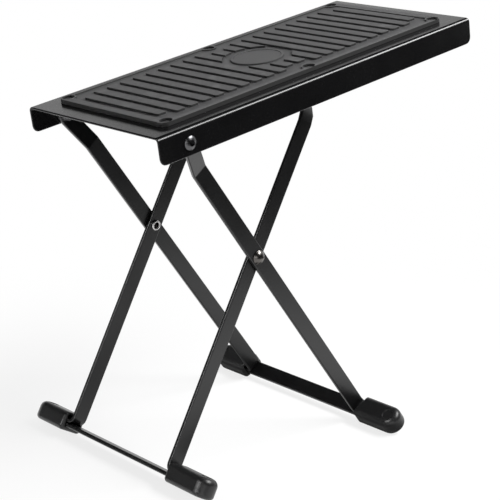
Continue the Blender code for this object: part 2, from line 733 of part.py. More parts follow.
def make_cross_rivet():
    """Domed head outside the outer leg, hollow end rolled over inside the hoop."""
    seat = OUTER_FACE + GAP
    inside = INNER_FACE - STRIP - GAP
    end = inside - CROSS_RING_HEIGHT
    profile = dome(CROSS_HEAD, CROSS_DOME, seat)
    profile += [(CROSS_SHANK, seat), (CROSS_SHANK, inside), (CROSS_RING, inside),
                (CROSS_RING, end + CROSS_RING_HEIGHT / 2), (CROSS_BORE + GAP, end),
                (CROSS_BORE, end + GAP), (CROSS_BORE, end + CROSS_BORE_DEPTH),
                (0, end + CROSS_BORE_DEPTH)]
    return turned("cross_rivet", profile, FACE_OUT)


def make_pivot_bolt():
    """Button head with a hexagon socket outside the flange, shank through the leg and nut."""
    seat = PLATE_WIDTH / 2 + GAP
    end = nut_inner_face() - BOLT_END
    profile = dome(BOLT_HEAD, BOLT_HEAD_HEIGHT, seat)
    profile += [(BOLT_RADIUS, seat), (BOLT_RADIUS, end), (0, end)]
    bolt = turned("pivot_bolt", profile, FACE_OUT)
    crown = seat + BOLT_HEAD_HEIGHT
    socket = rod("socket", SOCKET_RADIUS, SOCKET_DEPTH + OVERRUN,
                 (0, crown + (OVERRUN - SOCKET_DEPTH) / 2, 0), FACE_OUT, 6)
    return combine(bolt, socket, "DIFFERENCE")


def washer_inner_face():
    """Y of the hinge washer's inner face."""
    return HINGE_LEG_FACE - STRIP - GAP - WASHER_THICK


def nut_inner_face():
    """Y of the hinge nut's inner end."""
    return washer_inner_face() - GAP - NUT_HEIGHT - NUT_COLLAR_HEIGHT


def make_pivot_washer():
    """Flat washer between the leg and the nut."""
    middle = washer_inner_face() + WASHER_THICK / 2
    washer = rod("washer", WASHER_RADIUS, WASHER_THICK, (0, middle, 0), FACE_Y)
    return drill(washer, BOLT_RADIUS + GAP, WASHER_THICK + OVERRUN, (0, middle, 0), FACE_Y)


def make_pivot_nut():
    """Hexagon lock nut with its round collar inward."""
    outer = washer_inner_face() - GAP
    radius = NUT_FLATS / 2 / math.cos(math.pi / 6)
    nut = rod("nut", radius, NUT_HEIGHT, (0, outer - NUT_HEIGHT / 2, 0), FACE_Y, 6)
    length = NUT_HEIGHT / 2 + NUT_COLLAR_HEIGHT
    middle = nut_inner_face() + length / 2
    collar = rod("collar", NUT_COLLAR, length, (0, middle, 0), FACE_Y)
    nut = combine(nut, collar, "UNION")
    return drill(nut, BOLT_RADIUS + GAP, 2 * (outer - nut_inner_face()),
                 (0, outer - NUT_HEIGHT / 2, 0), FACE_Y)


def both_sides(piece, name, looks, parent, location=(0, 0, 0)):
    """A piece made for the +Y side, and its twin turned round for the -Y side."""
    place(piece, name + "_back", looks, parent, location)
    front = (location[0], -location[1], location[2])
    copy_of(piece, name + "_front", looks, parent, front, math.pi)


def build_legs(outer, inner, inner_arm):
    """Both frames of the scissor, with their crossbars, caps and rivets."""
    outer_foot = (0, 0, -OUTER_LOWER_ARM)
    inner_foot = (0, 0, -inner_arm)
    both_sides(make_outer_leg(), "outer_leg", POWDER_COAT, outer)
    place(make_hoop(inner_arm), "inner_hoop", POWDER_COAT, inner)
    for name, parent, foot, leg_face in (("outer", outer, outer_foot, OUTER_FACE),
                                         ("inner", inner, inner_foot, INNER_FACE)):
        cap_place = (0, leg_face + GAP, foot[2])
        rivet_place = (0, leg_face + TAB_RIVET_REACH, foot[2])
        place(make_crossbar(leg_face), name + "_crossbar", POWDER_COAT, parent, foot)
        both_sides(make_foot_cap(), "foot_cap_" + name, FOOT_RUBBER, parent, cap_place)
        both_sides(make_tab_rivet(), "crossbar_rivet_" + name, BLACK_STEEL, parent, rivet_place)
    both_sides(make_cross_rivet(), "cross_rivet", DARK_STEEL, outer)
    hinge = (0, 0, PIVOT_SPACING)
    both_sides(make_pivot_bolt(), "pivot_bolt", DARK_STEEL, outer, hinge)
    both_sides(make_pivot_washer(), "pivot_washer", BLACK_STEEL, outer, hinge)
    both_sides(make_pivot_nut(), "pivot_nut", BLACK_STEEL, outer, hinge)


def build_top(hinge):
    """The plate with its mat, fixings and rack, hung on the hinge's axis."""
    centre = Vector((-HINGE_X_ON_PLATE, 0, HINGE_DROP))
    place(make_footplate(), "footplate", POWDER_COAT, hinge, centre)
    place(make_mat(), "tread_mat", MAT_RUBBER, hinge, centre)
    place(make_rack(), "height_rack", POWDER_COAT, hinge, centre)
    fixing = make_mat_fixing()
    for number, (x, y) in enumerate(fixing_places(), 1):
        copy_of(fixing, f"mat_fixing_{number}", BLACK_STEEL, hinge, centre + Vector((x, y, 0)))
    bpy.data.objects.remove(fixing, do_unlink=True)
    rivet = make_rack_rivet()
    for number, (x, y) in enumerate(rack_rivet_places(), 1):
        copy_of(rivet, f"rack_rivet_{number}", BLACK_STEEL, hinge, centre + Vector((x, y, 0)))
    bpy.data.objects.remove(rivet, do_unlink=True)


def main():
    """Build the footrest."""
    clear_scene()
    parts = bpy.data.collections.new(OBJECT_NAME)
    bpy.context.scene.collection.children.link(parts)
    pivot, hinge, inner_arm = stance()
    outer_axis = empty("outer_frame_axis", None, pivot, -OUTER_LEAN)
    inner_axis = empty("inner_frame_axis", None, pivot, INNER_LEAN)
    hinge_axis = empty("plate_hinge_axis", None, hinge, -PLATE_TILT)
    build_legs(outer_axis, inner_axis, inner_arm)
    build_top(hinge_axis)


main()
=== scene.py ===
# %% [markdown]
# # A folding guitar footrest
#
# The real footrest is a folded steel plate with a ribbed rubber mat, carried by a
# scissor of flat steel strips that stand on rubber caps. The steel is coated with
# black powder. The solids of the model are ready and stay where they are. This
# lesson gives them their finishes, and makes the pieces that need more form than a
# plain solid has: the mat, the caps, and the screws and rivets.
#
# The first cell loads the solids.

# %% Load the solids
import json
import math

import bmesh
import bpy
from mathutils import Matrix, Vector


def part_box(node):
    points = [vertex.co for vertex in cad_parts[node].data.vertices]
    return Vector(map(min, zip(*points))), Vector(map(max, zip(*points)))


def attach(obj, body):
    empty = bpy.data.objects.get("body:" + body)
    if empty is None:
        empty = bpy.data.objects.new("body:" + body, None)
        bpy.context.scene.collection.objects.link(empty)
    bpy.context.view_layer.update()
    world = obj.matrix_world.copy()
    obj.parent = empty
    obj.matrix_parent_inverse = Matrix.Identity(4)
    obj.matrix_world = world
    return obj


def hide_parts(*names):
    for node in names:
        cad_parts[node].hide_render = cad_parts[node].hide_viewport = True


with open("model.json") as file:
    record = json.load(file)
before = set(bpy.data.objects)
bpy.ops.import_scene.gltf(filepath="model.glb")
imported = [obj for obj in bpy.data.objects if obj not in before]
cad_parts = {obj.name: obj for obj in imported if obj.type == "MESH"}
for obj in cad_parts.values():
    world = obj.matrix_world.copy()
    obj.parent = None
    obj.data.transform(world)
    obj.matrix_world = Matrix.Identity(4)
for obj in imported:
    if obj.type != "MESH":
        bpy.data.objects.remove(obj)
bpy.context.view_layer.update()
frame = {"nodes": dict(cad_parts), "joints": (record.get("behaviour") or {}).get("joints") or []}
solids = frame["nodes"]

# %% [markdown]
# ## Where the pieces sit
#
# Three places carry everything. The plate is drawn flat, with x along it and z = 0 on
# its top face, and is then tilted about its hinge. The outer and the inner legs are
# drawn upright, with z = 0 at the rivet where they cross, and are then leaned. A
# matrix for each turns a drawn point into a point of the standing footrest. The two
# turning points come from the joints, so the pieces can't drift from the solids.

# %% The plate and the legs as matrices
PLATE_TILT = math.radians(10.0)
OUTER_LEAN = math.radians(37.92)
INNER_LEAN = math.radians(27.81)
PLATE_LENGTH = 0.300
PLATE_WIDTH = 0.138
SHEET = 0.0015
STRIP = 0.003
GAP = 0.0003
HINGE_FROM_END = 0.025
HINGE_UNDER_TOP = 0.0104
OUTER_LOWER_ARM = 0.1747
INNER_LOWER_ARM = 0.156438

HINGE_ON_PLATE = Vector((HINGE_FROM_END - PLATE_LENGTH / 2, 0, -HINGE_UNDER_TOP))
turning_points = {joint["name"]: Vector(joint["pos_m"]) for joint in frame["joints"]}
crossing = turning_points["leg_fold"]
hinge = turning_points["plate_fold"]


def leaned(point, angle):
    """Matrix that leans about Y and then moves to a point."""
    return Matrix.Translation(point) @ Matrix.Rotation(angle, 4, "Y")


on_plate = leaned(hinge, -PLATE_TILT) @ Matrix.Translation(-HINGE_ON_PLATE)
on_outer_legs = leaned(crossing, -OUTER_LEAN)
on_inner_legs = leaned(crossing, INNER_LEAN)
print("plate's middle:", [round(v, 4) for v in on_plate @ Vector((0, 0, 0))])

# %% [markdown]
# ## The camera
#
# The photograph looks down on the footrest from its front left corner. The place, the
# turn and the focal length were solved from points of the footrest that are known
# both in the photograph and in the model, so the render can be laid over it. The
# camera's own axes are worked out from its bearing, its slope and its small roll. A
# small helper, used all through the lesson, puts a new object in the scene.

# %% Camera at the photograph's place
CAMERA_PLACE = Vector((-0.723929, -0.772757, 0.432385))
BEARING = math.radians(42.894)
SLOPE = math.radians(15.932)
ROLL = math.radians(0.802)
FOCAL_LENGTH_IN_PIXELS = 1503.676
PHOTO_WIDTH_IN_PIXELS = 500
SENSOR_IN_MM = 36


def in_scene(name, data):
    """A new object that shows some data, put in the scene."""
    thing = bpy.data.objects.new(name, data)
    bpy.context.scene.collection.objects.link(thing)
    return thing


ahead = Vector((math.sin(BEARING) * math.cos(SLOPE), math.cos(BEARING) * math.cos(SLOPE),
                -math.sin(SLOPE)))
level = Vector((math.cos(BEARING), -math.sin(BEARING), 0))
above = level.cross(ahead)
right = math.cos(ROLL) * level + math.sin(ROLL) * above
up = math.cos(ROLL) * above - math.sin(ROLL) * level
axes = Matrix((right, up, -ahead)).transposed()
camera_data = bpy.data.cameras.new("camera")
camera_data.sensor_width = SENSOR_IN_MM
camera_data.lens = FOCAL_LENGTH_IN_PIXELS / PHOTO_WIDTH_IN_PIXELS * SENSOR_IN_MM
camera = in_scene("camera", camera_data)
camera.matrix_world = Matrix.Translation(CAMERA_PLACE) @ axes.to_4x4()
bpy.context.scene.camera = camera
print("lens:", round(camera_data.lens, 2), "mm")

# %% [markdown]
# ## Sums written as sums
#
# Finishes and repeated shapes are both trees of nodes. A tree is long when each node
# is made and linked by hand, so one small class makes a node from its kind, its
# settings and its sockets, and another stands for a socket and lets a sum be written
# as Python. A colour would turn grey in a sum, so colours go through a mix node.

# %% A class for sockets and one for trees
def math_node(operation, reflected=False):
    """A method that turns a Python operator into a Math node."""
    def method(self, other):
        first, second = (other, self) if reflected else (self, other)
        return self.graph.maths(operation, first, second)
    return method


class Value:
    """An output socket that can be used in a sum."""

    def __init__(self, graph, socket):
        self.graph = graph
        self.socket = socket

    __add__ = __radd__ = math_node("ADD")
    __mul__ = __rmul__ = math_node("MULTIPLY")
    __sub__ = math_node("SUBTRACT")
    __rsub__ = math_node("SUBTRACT", reflected=True)
    __truediv__ = math_node("DIVIDE")
    __rtruediv__ = math_node("DIVIDE", reflected=True)
    __lt__ = math_node("LESS_THAN")
    __gt__ = math_node("GREATER_THAN")


class Graph:
    """A tree of nodes, of a finish or of a repeated shape."""

    def __init__(self, tree):
        self.tree = tree

    def node(self, kind, settings, sockets, output=0):
        """One node: its kind, its settings, and the values or links of its sockets."""
        made = self.tree.nodes.new(kind)
        for name, setting in settings.items():
            setattr(made, name, setting)
        for key, value in sockets.items():
            if isinstance(value, Value):
                self.tree.links.new(value.socket, made.inputs[key])
            else:
                made.inputs[key].default_value = value
        return Value(self, made.outputs[output])

    def maths(self, operation, first, second):
        """One sum of two numbers."""
        return self.node("ShaderNodeMath", {"operation": operation}, {0: first, 1: second})

    def size(self, value):
        """A number without its sign."""
        return self.maths("ABSOLUTE", value, 0)

    def part(self, vector, axis):
        """One coordinate of a place or of a direction."""
        return self.node("ShaderNodeSeparateXYZ", {}, {"Vector": vector}, axis)

    def vector(self, x=0.0, y=0.0, z=0.0):
        """Three numbers as one vector."""
        return self.node("ShaderNodeCombineXYZ", {}, {0: x, 1: y, 2: z})

    def along(self, vector, direction):
        """How far a place or a direction goes along another direction."""
        return self.node("ShaderNodeVectorMath", {"operation": "DOT_PRODUCT"}, {
            0: vector, 1: direction}, 1)

    def ramp(self, value, low, high):
        """0 below low, 1 above high, and a smooth rise between them."""
        return self.node("ShaderNodeMapRange", {"interpolation_type": "SMOOTHSTEP"},
                         {"Value": value, "From Min": low, "From Max": high})

    def blend(self, share, first, second):
        """One colour changing to another."""
        mixed = {"data_type": "RGBA", "clamp_factor": True}
        colours = [tint if isinstance(tint, Value) else (*tint, 1) for tint in (first, second)]
        return self.node("ShaderNodeMix", mixed, {0: share, 6: colours[0], 7: colours[1]}, 2)


print("ready: sockets that add, and one method for any node")

# %% [markdown]
# ## Finishes
#
# A finish is a Principled material whose pattern is placed by the piece's own
# coordinates, which here are those of the standing footrest in metres. So the scale
# of a noise can be chosen from the real thing: a scale of 700 gives grains a little
# over a millimetre wide. What is the same all over is set on the shader itself.

# %% Start of every finish
class Finish(Graph):
    """A material, its shader and the coordinates that its patterns use."""

    def __init__(self, name, **same_all_over):
        self.material = bpy.data.materials.new(name)
        self.material.use_nodes = True
        super().__init__(self.material.node_tree)
        self.shader = self.tree.nodes["Principled BSDF"]
        for socket, value in same_all_over.items():
            self.shader.inputs[socket.replace("_", " ")].default_value = value
        self.place = self.node("ShaderNodeTexCoord", {}, {}, "Object")

    def turned_place(self, matrix):
        """The coordinates before a piece was tilted and moved by a matrix."""
        back = matrix.inverted()
        return self.node("ShaderNodeMapping", {}, {
            "Vector": self.place,
            "Location": back.to_translation(),
            "Rotation": back.to_euler()[:],
        })

    def noise(self, scale, detail, place=None):
        """Soft noise from 0 to 1."""
        return self.node("ShaderNodeTexNoise", {}, {
            "Vector": place or self.place, "Scale": scale, "Detail": detail})

    def feed(self, socket, value):
        """Link a pattern to a socket of the shader."""
        self.tree.links.new(value.socket, self.shader.inputs[socket])

    def relief(self, height, depth, strength):
        """Bumps of a depth in metres."""
        self.feed("Normal", self.node("ShaderNodeBump", {}, {
            "Height": height, "Distance": depth, "Strength": strength}))


print("ready: a finish knows its own piece's coordinates")

# %% [markdown]
# ### Black powder coat
#
# Powder is sprayed on dry and melted into one skin. It never flows quite flat: its
# surface has shallow waves like the peel of an orange, about a millimetre across and
# a few hundredths of a millimetre deep. They soften the reflections. The colour is an
# almost neutral black with faint clouds where the skin is thicker.

# %% Powder coat
def powder_coat(name, roughness, shine):
    """Satin black skin with shallow waves."""
    coat = Finish(name, Metallic=0.0, IOR=1.5, Specular_IOR_Level=shine)
    waves = coat.noise(720, 2.0)
    clouds = coat.noise(34, 3.0)
    specks = coat.ramp(coat.noise(1500, 1.0), 0.66, 0.74)
    black = coat.blend(clouds, (0.0032, 0.0032, 0.0034), (0.0052, 0.0052, 0.0055))
    coat.feed("Base Color", coat.blend(specks * 0.5, black, (0.012, 0.012, 0.0125)))
    coat.feed("Roughness", roughness + (clouds - 0.5) * 0.12 + specks * 0.06)
    coat.relief(waves + clouds * 0.3, 0.00005, 0.55)
    return coat.material


plate_coat = powder_coat("powder_coat_of_the_plate", 0.21, 0.27)
strip_coat = powder_coat("powder_coat_of_the_strips", 0.30, 0.5)
print("powder coats:", plate_coat.name, strip_coat.name)

# %% [markdown]
# ### Mat rubber
#
# The mat is pressed in a blasted mould, which leaves an even fine grain. The tops of the
# ribs are a little greyer and less rough than the ground between them, and the ground
# has soft patches of tone. The steep walls are painted near black: painted shade, for
# the shade that lies on them. The height over the plate and the way a face is turned
# tell the three apart, so the coordinates are first turned back to the flat plate.

# %% Rubber of the mat
def mat_rubber():
    """Pressed rubber: grain, greyer rib tops, patchy ground, and walls painted black as painted
    shade.
    """
    rubber = Finish("pressed_rubber_of_the_mat", Metallic=0.0, IOR=1.5)
    flat = rubber.turned_place(on_plate)
    grain = rubber.noise(2400, 2.0, flat)
    patches = rubber.noise(26, 3.0, flat)
    scuffs = rubber.ramp(rubber.noise(95, 4.0, flat), 0.52, 0.72)
    # The rib tops are a little greyer than the ground and the rim.
    top = rubber.ramp(rubber.part(flat, "Z"), 0.0031, 0.0035)
    facing = rubber.node("ShaderNodeTexCoord", {}, {}, "Normal")
    plate_normal = on_plate.to_3x3() @ Vector((0, 0, 1))
    # Steep faces are painted near black: painted shade on the walls of the mat, the ribs and the
    # seats.
    wall = 1 - rubber.ramp(rubber.along(facing, plate_normal), 0.30, 0.80)
    ground = rubber.blend(patches, (0.048, 0.048, 0.049), (0.069, 0.069, 0.070))
    rubber_tone = rubber.blend(scuffs, (0.057, 0.057, 0.058), (0.083, 0.083, 0.084))
    rubber_tone = rubber.blend(top, ground, rubber_tone)
    rubber.feed("Base Color", rubber.blend(wall * 0.95, rubber_tone, (0.009, 0.009, 0.009)))
    rubber.feed("Roughness", 0.50 + patches * 0.10 - top * 0.05 + grain * 0.06 + wall * 0.15)
    rubber.relief(grain, 0.00004, 0.6)
    return rubber.material


pressed_rubber = mat_rubber()
print("rubber:", pressed_rubber.name)

# %% [markdown]
# ### Rubber of the foot caps
#
# The caps are moulded in a smoother tool than the mat, so they shine more. Close to
# the floor the rubber is duller and a little grey.

# %% Rubber of the caps
def cap_rubber():
    """Smooth moulded rubber, duller and a little grey close to the floor."""
    rubber = Finish("moulded_rubber_of_the_caps", Metallic=0.0, IOR=1.43)
    grain = rubber.noise(1900, 2.0)
    patches = rubber.noise(70, 3.0)
    height = rubber.part(rubber.place, "Z") + (patches - 0.5) * 0.004
    low = 1 - rubber.ramp(height, 0.0015, 0.0045)
    black = rubber.blend(patches, (0.008, 0.008, 0.0084), (0.013, 0.013, 0.0134))
    rubber.feed("Base Color", rubber.blend(low * 0.7, black, (0.045, 0.044, 0.043)))
    rubber.feed("Roughness", 0.32 + patches * 0.08 + low * 0.24)
    rubber.relief(grain + patches * 0.5, 0.00004, 0.5)
    return rubber.material


moulded_rubber = cap_rubber()
print("rubber:", moulded_rubber.name)

# %% [markdown]
# ### Steel of the screws and rivets
#
# The heads of the hinge screws and of the rivets at the crossing are bare plated
# steel. They were turned, so fine rings run round their axis, which lies along Y
# through the hinge or through the crossing. Outside the legs they are a darker tone,
# and their inner ends are painted bright: a painted reflection. Nuts, washers and the
# small rivets are blackened, and so are the studs of the mat.

# %% Bright and blackened steel
PAINTED_REFLECTION_UP_TO = 0.054
OUTER_TONE_FROM = 0.057


def turned_steel(name, centre, dark, light, roughness):
    """Plated steel, a darker tone outside and painted bright inside as a painted reflection, with
    fine rings about an axis along Y.
    """
    steel = Finish(name, Metallic=1.0)
    about = steel.node("ShaderNodeMapping", {}, {
        "Vector": steel.place, "Location": -centre})
    rings = steel.node("ShaderNodeTexWave", {"wave_type": "RINGS", "rings_direction": "Y"}, {
        "Vector": about, "Scale": 900.0, "Distortion": 1.5, "Detail": 2.0}, 1)
    clouds = steel.noise(260, 3.0)
    from_middle = steel.size(steel.part(steel.place, "Y"))
    # Within the frame the steel is painted bright: a painted reflection.
    inside = 1 - steel.ramp(from_middle, PAINTED_REFLECTION_UP_TO, OUTER_TONE_FROM)
    outer_tone = steel.blend(clouds, dark, light)
    steel.feed("Base Color", steel.blend(inside, outer_tone, (0.66, 0.65, 0.64)))
    steel.feed("Roughness", roughness + (clouds - 0.5) * 0.16)
    steel.relief(rings + clouds * 0.4, 0.00001, 0.35)
    return steel.material


def blackened_steel():
    """Black plated steel with faint grey where it is rubbed."""
    steel = Finish("blackened_steel", Metallic=1.0)
    clouds = steel.noise(300, 3.0)
    rubbed = steel.ramp(steel.noise(900, 3.0), 0.56, 0.72)
    black = steel.blend(clouds, (0.070, 0.070, 0.072), (0.110, 0.110, 0.113))
    steel.feed("Base Color", steel.blend(rubbed * 0.6, black, (0.20, 0.20, 0.205)))
    steel.feed("Roughness", 0.34 + clouds * 0.12 - rubbed * 0.06)
    steel.relief(clouds + rubbed * 0.3, 0.00002, 0.4)
    return steel.material


hinge_steel = turned_steel("plated_steel_of_the_hinge_screws", hinge,
                           (0.05, 0.05, 0.052), (0.13, 0.13, 0.135), 0.28)
crossing_steel = turned_steel("plated_steel_of_the_crossing_rivets", crossing,
                              (0.05, 0.046, 0.042), (0.17, 0.162, 0.155), 0.26)
black_steel = blackened_steel()
print("steels:", hinge_steel.name, crossing_steel.name, black_steel.name)

# %% [markdown]
# ## Tools for making pieces
#
# Four small tools make every other piece. One rounds the corners of a drawn outline.
# One stacks copies of an outline, each a little inset and a little higher, and closes
# the stack: this is how a moulded edge with its slope and its roundings is drawn. One
# turns a profile round an axis. The last runs modifiers and keeps the plain mesh. A
# cutter always reaches a millimetre or two past the face that it opens.

# %% Rounded outlines and stacked outlines
MERGED = 0.000002
NEAR = 0.00001
PAST = 0.001


def rounded(points, radii, steps):
    """A drawn outline with its corners replaced by arcs."""
    result = []
    for index, (place, radius) in enumerate(zip(points, radii)):
        corner = Vector(place)
        before = (Vector(points[index - 1]) - corner).normalized()
        after = (Vector(points[(index + 1) % len(points)]) - corner).normalized()
        turn = math.pi - before.angle(after)
        centre = corner + (before + after).normalized() * radius / math.cos(turn / 2)
        spoke = corner + before * radius * math.tan(turn / 2) - centre
        sign = 1 if before.x * after.y - before.y * after.x < 0 else -1
        for step in range(steps + 1):
            result.append(centre + Matrix.Rotation(sign * turn * step / steps, 2) @ spoke)
    return [spot for index, spot in enumerate(result) if (spot - result[index - 1]).length > 1e-6]


def rectangle(left, right, low, high):
    """The corners of a rectangle, anticlockwise from its lower left."""
    return [Vector(corner) for corner in ((left, low), (right, low), (right, high), (left, high))]


def inset(outline, distance):
    """An outline moved inward along its normals."""
    moved = []
    for index, point in enumerate(outline):
        before = (point - outline[index - 1]).normalized()
        after = (outline[(index + 1) % len(outline)] - point).normalized()
        inward = Vector((-before.y - after.y, before.x + after.x)).normalized()
        spread = max(0.5, inward.dot(Vector((-after.y, after.x))))
        moved.append(point + inward * distance / spread)
    return moved


def plain_mesh(shape):
    """A drawn shape as a mesh."""
    mesh = bpy.data.meshes.new("drawn")
    shape.to_mesh(mesh)
    shape.free()
    return mesh


def finished_mesh(shape):
    """A drawn shape as a mesh, its doubles merged and its faces outward."""
    bmesh.ops.remove_doubles(shape, verts=shape.verts, dist=MERGED)
    bmesh.ops.recalc_face_normals(shape, faces=shape.faces)
    return plain_mesh(shape)


def stacked(outline, stages):
    """A closed solid of insets of one outline, each at its height, from the bottom up."""
    shape = bmesh.new()
    rings = [[shape.verts.new((*point, height)) for point in inset(outline, distance)]
             for distance, height in stages]
    for lower, upper in zip(rings, rings[1:]):
        for index in range(len(outline)):
            after = (index + 1) % len(outline)
            shape.faces.new((lower[index], lower[after], upper[after], upper[index]))
    shape.faces.new(reversed(rings[0]))
    shape.faces.new(rings[-1])
    return finished_mesh(shape)


def quarter(radius, start_inset, start_height, steps):
    """Stages that round an upper edge over a quarter circle."""
    stages = []
    for step in range(steps + 1):
        angle = math.pi / 2 * step / steps
        stages.append((start_inset + radius * (1 - math.cos(angle)),
                       start_height + radius * math.sin(angle)))
    return stages


print("ready: rounded outlines and stacks")


# %% Turned pieces and finished edges
def lathe(profile, sides=48):
    """A profile of radius and height, from the top down, turned round Z."""
    shape = bmesh.new()
    rings = []
    for radius, height in profile:
        if radius < 0.000001:
            rings.append([shape.verts.new((0, 0, height))])
            continue
        spokes = [2 * math.pi * side / sides for side in range(sides)]
        rings.append([shape.verts.new((radius * math.cos(a), radius * math.sin(a), height))
                      for a in spokes])
    for upper, lower in zip(rings, rings[1:]):
        for side in range(sides):
            after = (side + 1) % sides
            corners = [upper[side % len(upper)], upper[after % len(upper)],
                       lower[after % len(lower)], lower[side % len(lower)]]
            face = list(dict.fromkeys(corners))
            if len(face) > 2:
                shape.faces.new(face)
    return finished_mesh(shape)


def cylinder(radius, low, high, sides=48):
    """A round tool along Z."""
    return lathe([(0, high), (radius, high), (radius, low), (0, low)], sides)


def evaluated(bench):
    """The plain mesh that an object's modifiers make, without the object."""
    graph = bpy.context.evaluated_depsgraph_get()
    result = bpy.data.meshes.new_from_object(bench.evaluated_get(graph))
    bpy.data.objects.remove(bench)
    return result


def kept(mesh, kind, **settings):
    """The plain mesh that a modifier makes of a mesh."""
    bench = in_scene("bench", mesh)
    modifier = bench.modifiers.new(kind, kind)
    for name, value in settings.items():
        setattr(modifier, name, value)
    return evaluated(bench)


def cut(mesh, *tools, operation="DIFFERENCE"):
    """A mesh with other meshes cut from it, joined to it or crossed with it."""
    for tool in tools:
        helper = in_scene("tool", tool)
        mesh = kept(mesh, "BOOLEAN", operation=operation, solver="EXACT", object=helper)
        bpy.data.objects.remove(helper)
    return mesh


def soft_edges(mesh, width, steps, angle):
    """A mesh with its edges that turn by more than an angle rounded."""
    return kept(mesh, "BEVEL", width=width, segments=steps, limit_method="ANGLE",
                angle_limit=math.radians(angle))


def moved(mesh, matrix):
    """A copy of a mesh that a matrix has moved."""
    copy = mesh.copy()
    copy.transform(matrix)
    return copy


def joined(*meshes):
    """Several meshes as one."""
    shape = bmesh.new()
    for mesh in meshes:
        shape.from_mesh(mesh)
    return plain_mesh(shape)


def fitted(name, mesh, finish, slot, body, *replaced, sharp=38):
    """Finish a piece: its mesh in place, its finish, its body and what it stands for."""
    mesh.materials.clear()
    mesh.materials.append(finish)
    mesh.shade_smooth()
    mesh.set_sharp_from_angle(angle=math.radians(sharp))
    mesh = kept(mesh, "WEIGHTED_NORMAL", keep_sharp=True)
    mesh.name = name
    piece = in_scene(name, mesh)
    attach(piece, body)
    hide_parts(*replaced)
    mesh.calc_loop_triangles()
    print(name, "-", len(mesh.loop_triangles), "triangles, for", ", ".join(replaced))


print("ready: lathe, cuts, soft edges")

# %% [markdown]
# ## Sheet and strip with the coat on
#
# The folded plate, the notched rack, the legs and the crossbars have the right shape
# in the model already. Powder melts into a skin that rounds every cut edge, and the
# thin lights along those edges are what makes a black strip read as steel. So a copy
# of each solid is merged, its corners are rounded, and it is shaded smooth, with the
# normals of its flat faces kept flat. The plate's outline is rounded more than the rims
# of its holes: hands meet it, so it is smoothed before it is coated.

# %% Merged copies of the sheets
OUTLINE_ROUND = 0.00072
SHEET_EDGE_ROUND = 0.0003
END_DEPTH = 0.006
FLANGE_FOOT = -0.016
CORNER_TURN = math.radians(60)


def merged_copy(solid):
    """The solid's faces joined into one skin, with the flat ones whole."""
    shape = bmesh.new()
    shape.from_mesh(solid.data)
    bmesh.ops.remove_doubles(shape, verts=shape.verts, dist=MERGED)
    bmesh.ops.dissolve_limit(shape, angle_limit=math.radians(0.5), verts=shape.verts,
                             edges=shape.edges)
    return shape


def round_edges(shape, edges, radius):
    """Round chosen edges of a drawn shape."""
    bmesh.ops.bevel(shape, geom=edges, offset=radius, segments=5, profile=0.5,
                    affect="EDGES", clamp_overlap=False)


def round_outline(shape):
    """Round the outer edges of the folded plate, but not the rims of its holes."""
    shape.transform(on_plate.inverted())
    end = max(vert.co.x for vert in shape.verts) - END_DEPTH
    outline = []
    for edge in shape.edges:
        at_end = all(abs(vert.co.x) > end for vert in edge.verts)
        at_foot = all(vert.co.z < FLANGE_FOOT for vert in edge.verts)
        if (at_end or at_foot) and edge.calc_face_angle(0) > CORNER_TURN:
            outline.append(edge)
    round_edges(shape, outline, OUTLINE_ROUND)
    shape.transform(on_plate)
    print("outer edges rounded:", len(outline))
    return shape


copies = {"footplate": round_outline(merged_copy(solids["footplate"])),
          "height_rack": merged_copy(solids["height_rack"])}
for name, copy in copies.items():
    sheet = soft_edges(plain_mesh(copy), SHEET_EDGE_ROUND, steps=3, angle=60)
    fitted(f"coated_{name}", sheet, plate_coat, "coated_steel", "top", name, sharp=50)

# %% [markdown]
# Strip is rolled, and its long edges come out of the rolls with a radius of about a
# millimetre. The solids have a small straight chamfer there. In the leg's own frame a
# chamfer joins a point on the wide face to one on the narrow side, so the sharp corner
# takes x from the second and the rest from the first, and can then be rounded.

# %% Strips with rolled edges
STRIP_CHAMFER = 0.0004
CHAMFER_SPAN = STRIP_CHAMFER * 1.6
ROLLED_EDGE = 0.0008


def rolled_strip(solid, matrix):
    """A copy of a strip with its chamfered long edges made round."""
    shape = merged_copy(solid)
    shape.transform(matrix.inverted())
    side = max(abs(vert.co.x) for vert in shape.verts)
    on_side = [vert for vert in shape.verts if abs(abs(vert.co.x) - side) < NEAR]
    moves = {}
    for vert in on_side:
        for edge in vert.link_edges:
            other = edge.other_vert(vert)
            off = abs(side - abs(other.co.x) - STRIP_CHAMFER)
            if off < 2 * NEAR and edge.calc_length() < CHAMFER_SPAN:
                corner = Vector((vert.co.x, other.co.y, other.co.z))
                moves[vert] = corner
                moves[other] = corner
    for vert, corner in moves.items():
        vert.co = corner
    bmesh.ops.remove_doubles(shape, verts=shape.verts, dist=2 * MERGED)
    bmesh.ops.recalc_face_normals(shape, faces=shape.faces)
    shape.normal_update()
    long_edges = []
    for edge in shape.edges:
        if len(edge.link_faces) == 2 and all(abs(abs(v.co.x) - side) < NEAR for v in edge.verts):
            slopes = sorted(abs(face.normal.x) for face in edge.link_faces)
            if slopes[0] < 0.1 and slopes[1] > 0.9:
                long_edges.append(edge)
    round_edges(shape, long_edges, ROLLED_EDGE)
    shape.transform(matrix)
    print(solid.name, "-", len(moves) // 2, "corners and", len(long_edges), "edges rounded")
    return plain_mesh(shape)


STRIPS = {"outer_frame": (on_outer_legs, ("outer_leg_front", "outer_leg_back", "outer_crossbar")),
          "inner_frame": (on_inner_legs, ("inner_hoop", "inner_crossbar"))}
for body, (matrix, names) in STRIPS.items():
    for name in names:
        strip = rolled_strip(solids[name], matrix)
        fitted(f"coated_{name}", strip, strip_coat, "coated_steel", body, name, sharp=50)

# %% [markdown]
# ## Geometry Nodes for what repeats
#
# Ribs, studs, rivets and screws come in rows. A node tree with named inputs places
# them: change the count or the pitch, and the row follows. The tree is run once, and
# its result is kept as a plain mesh, which moves and exports like any other piece.

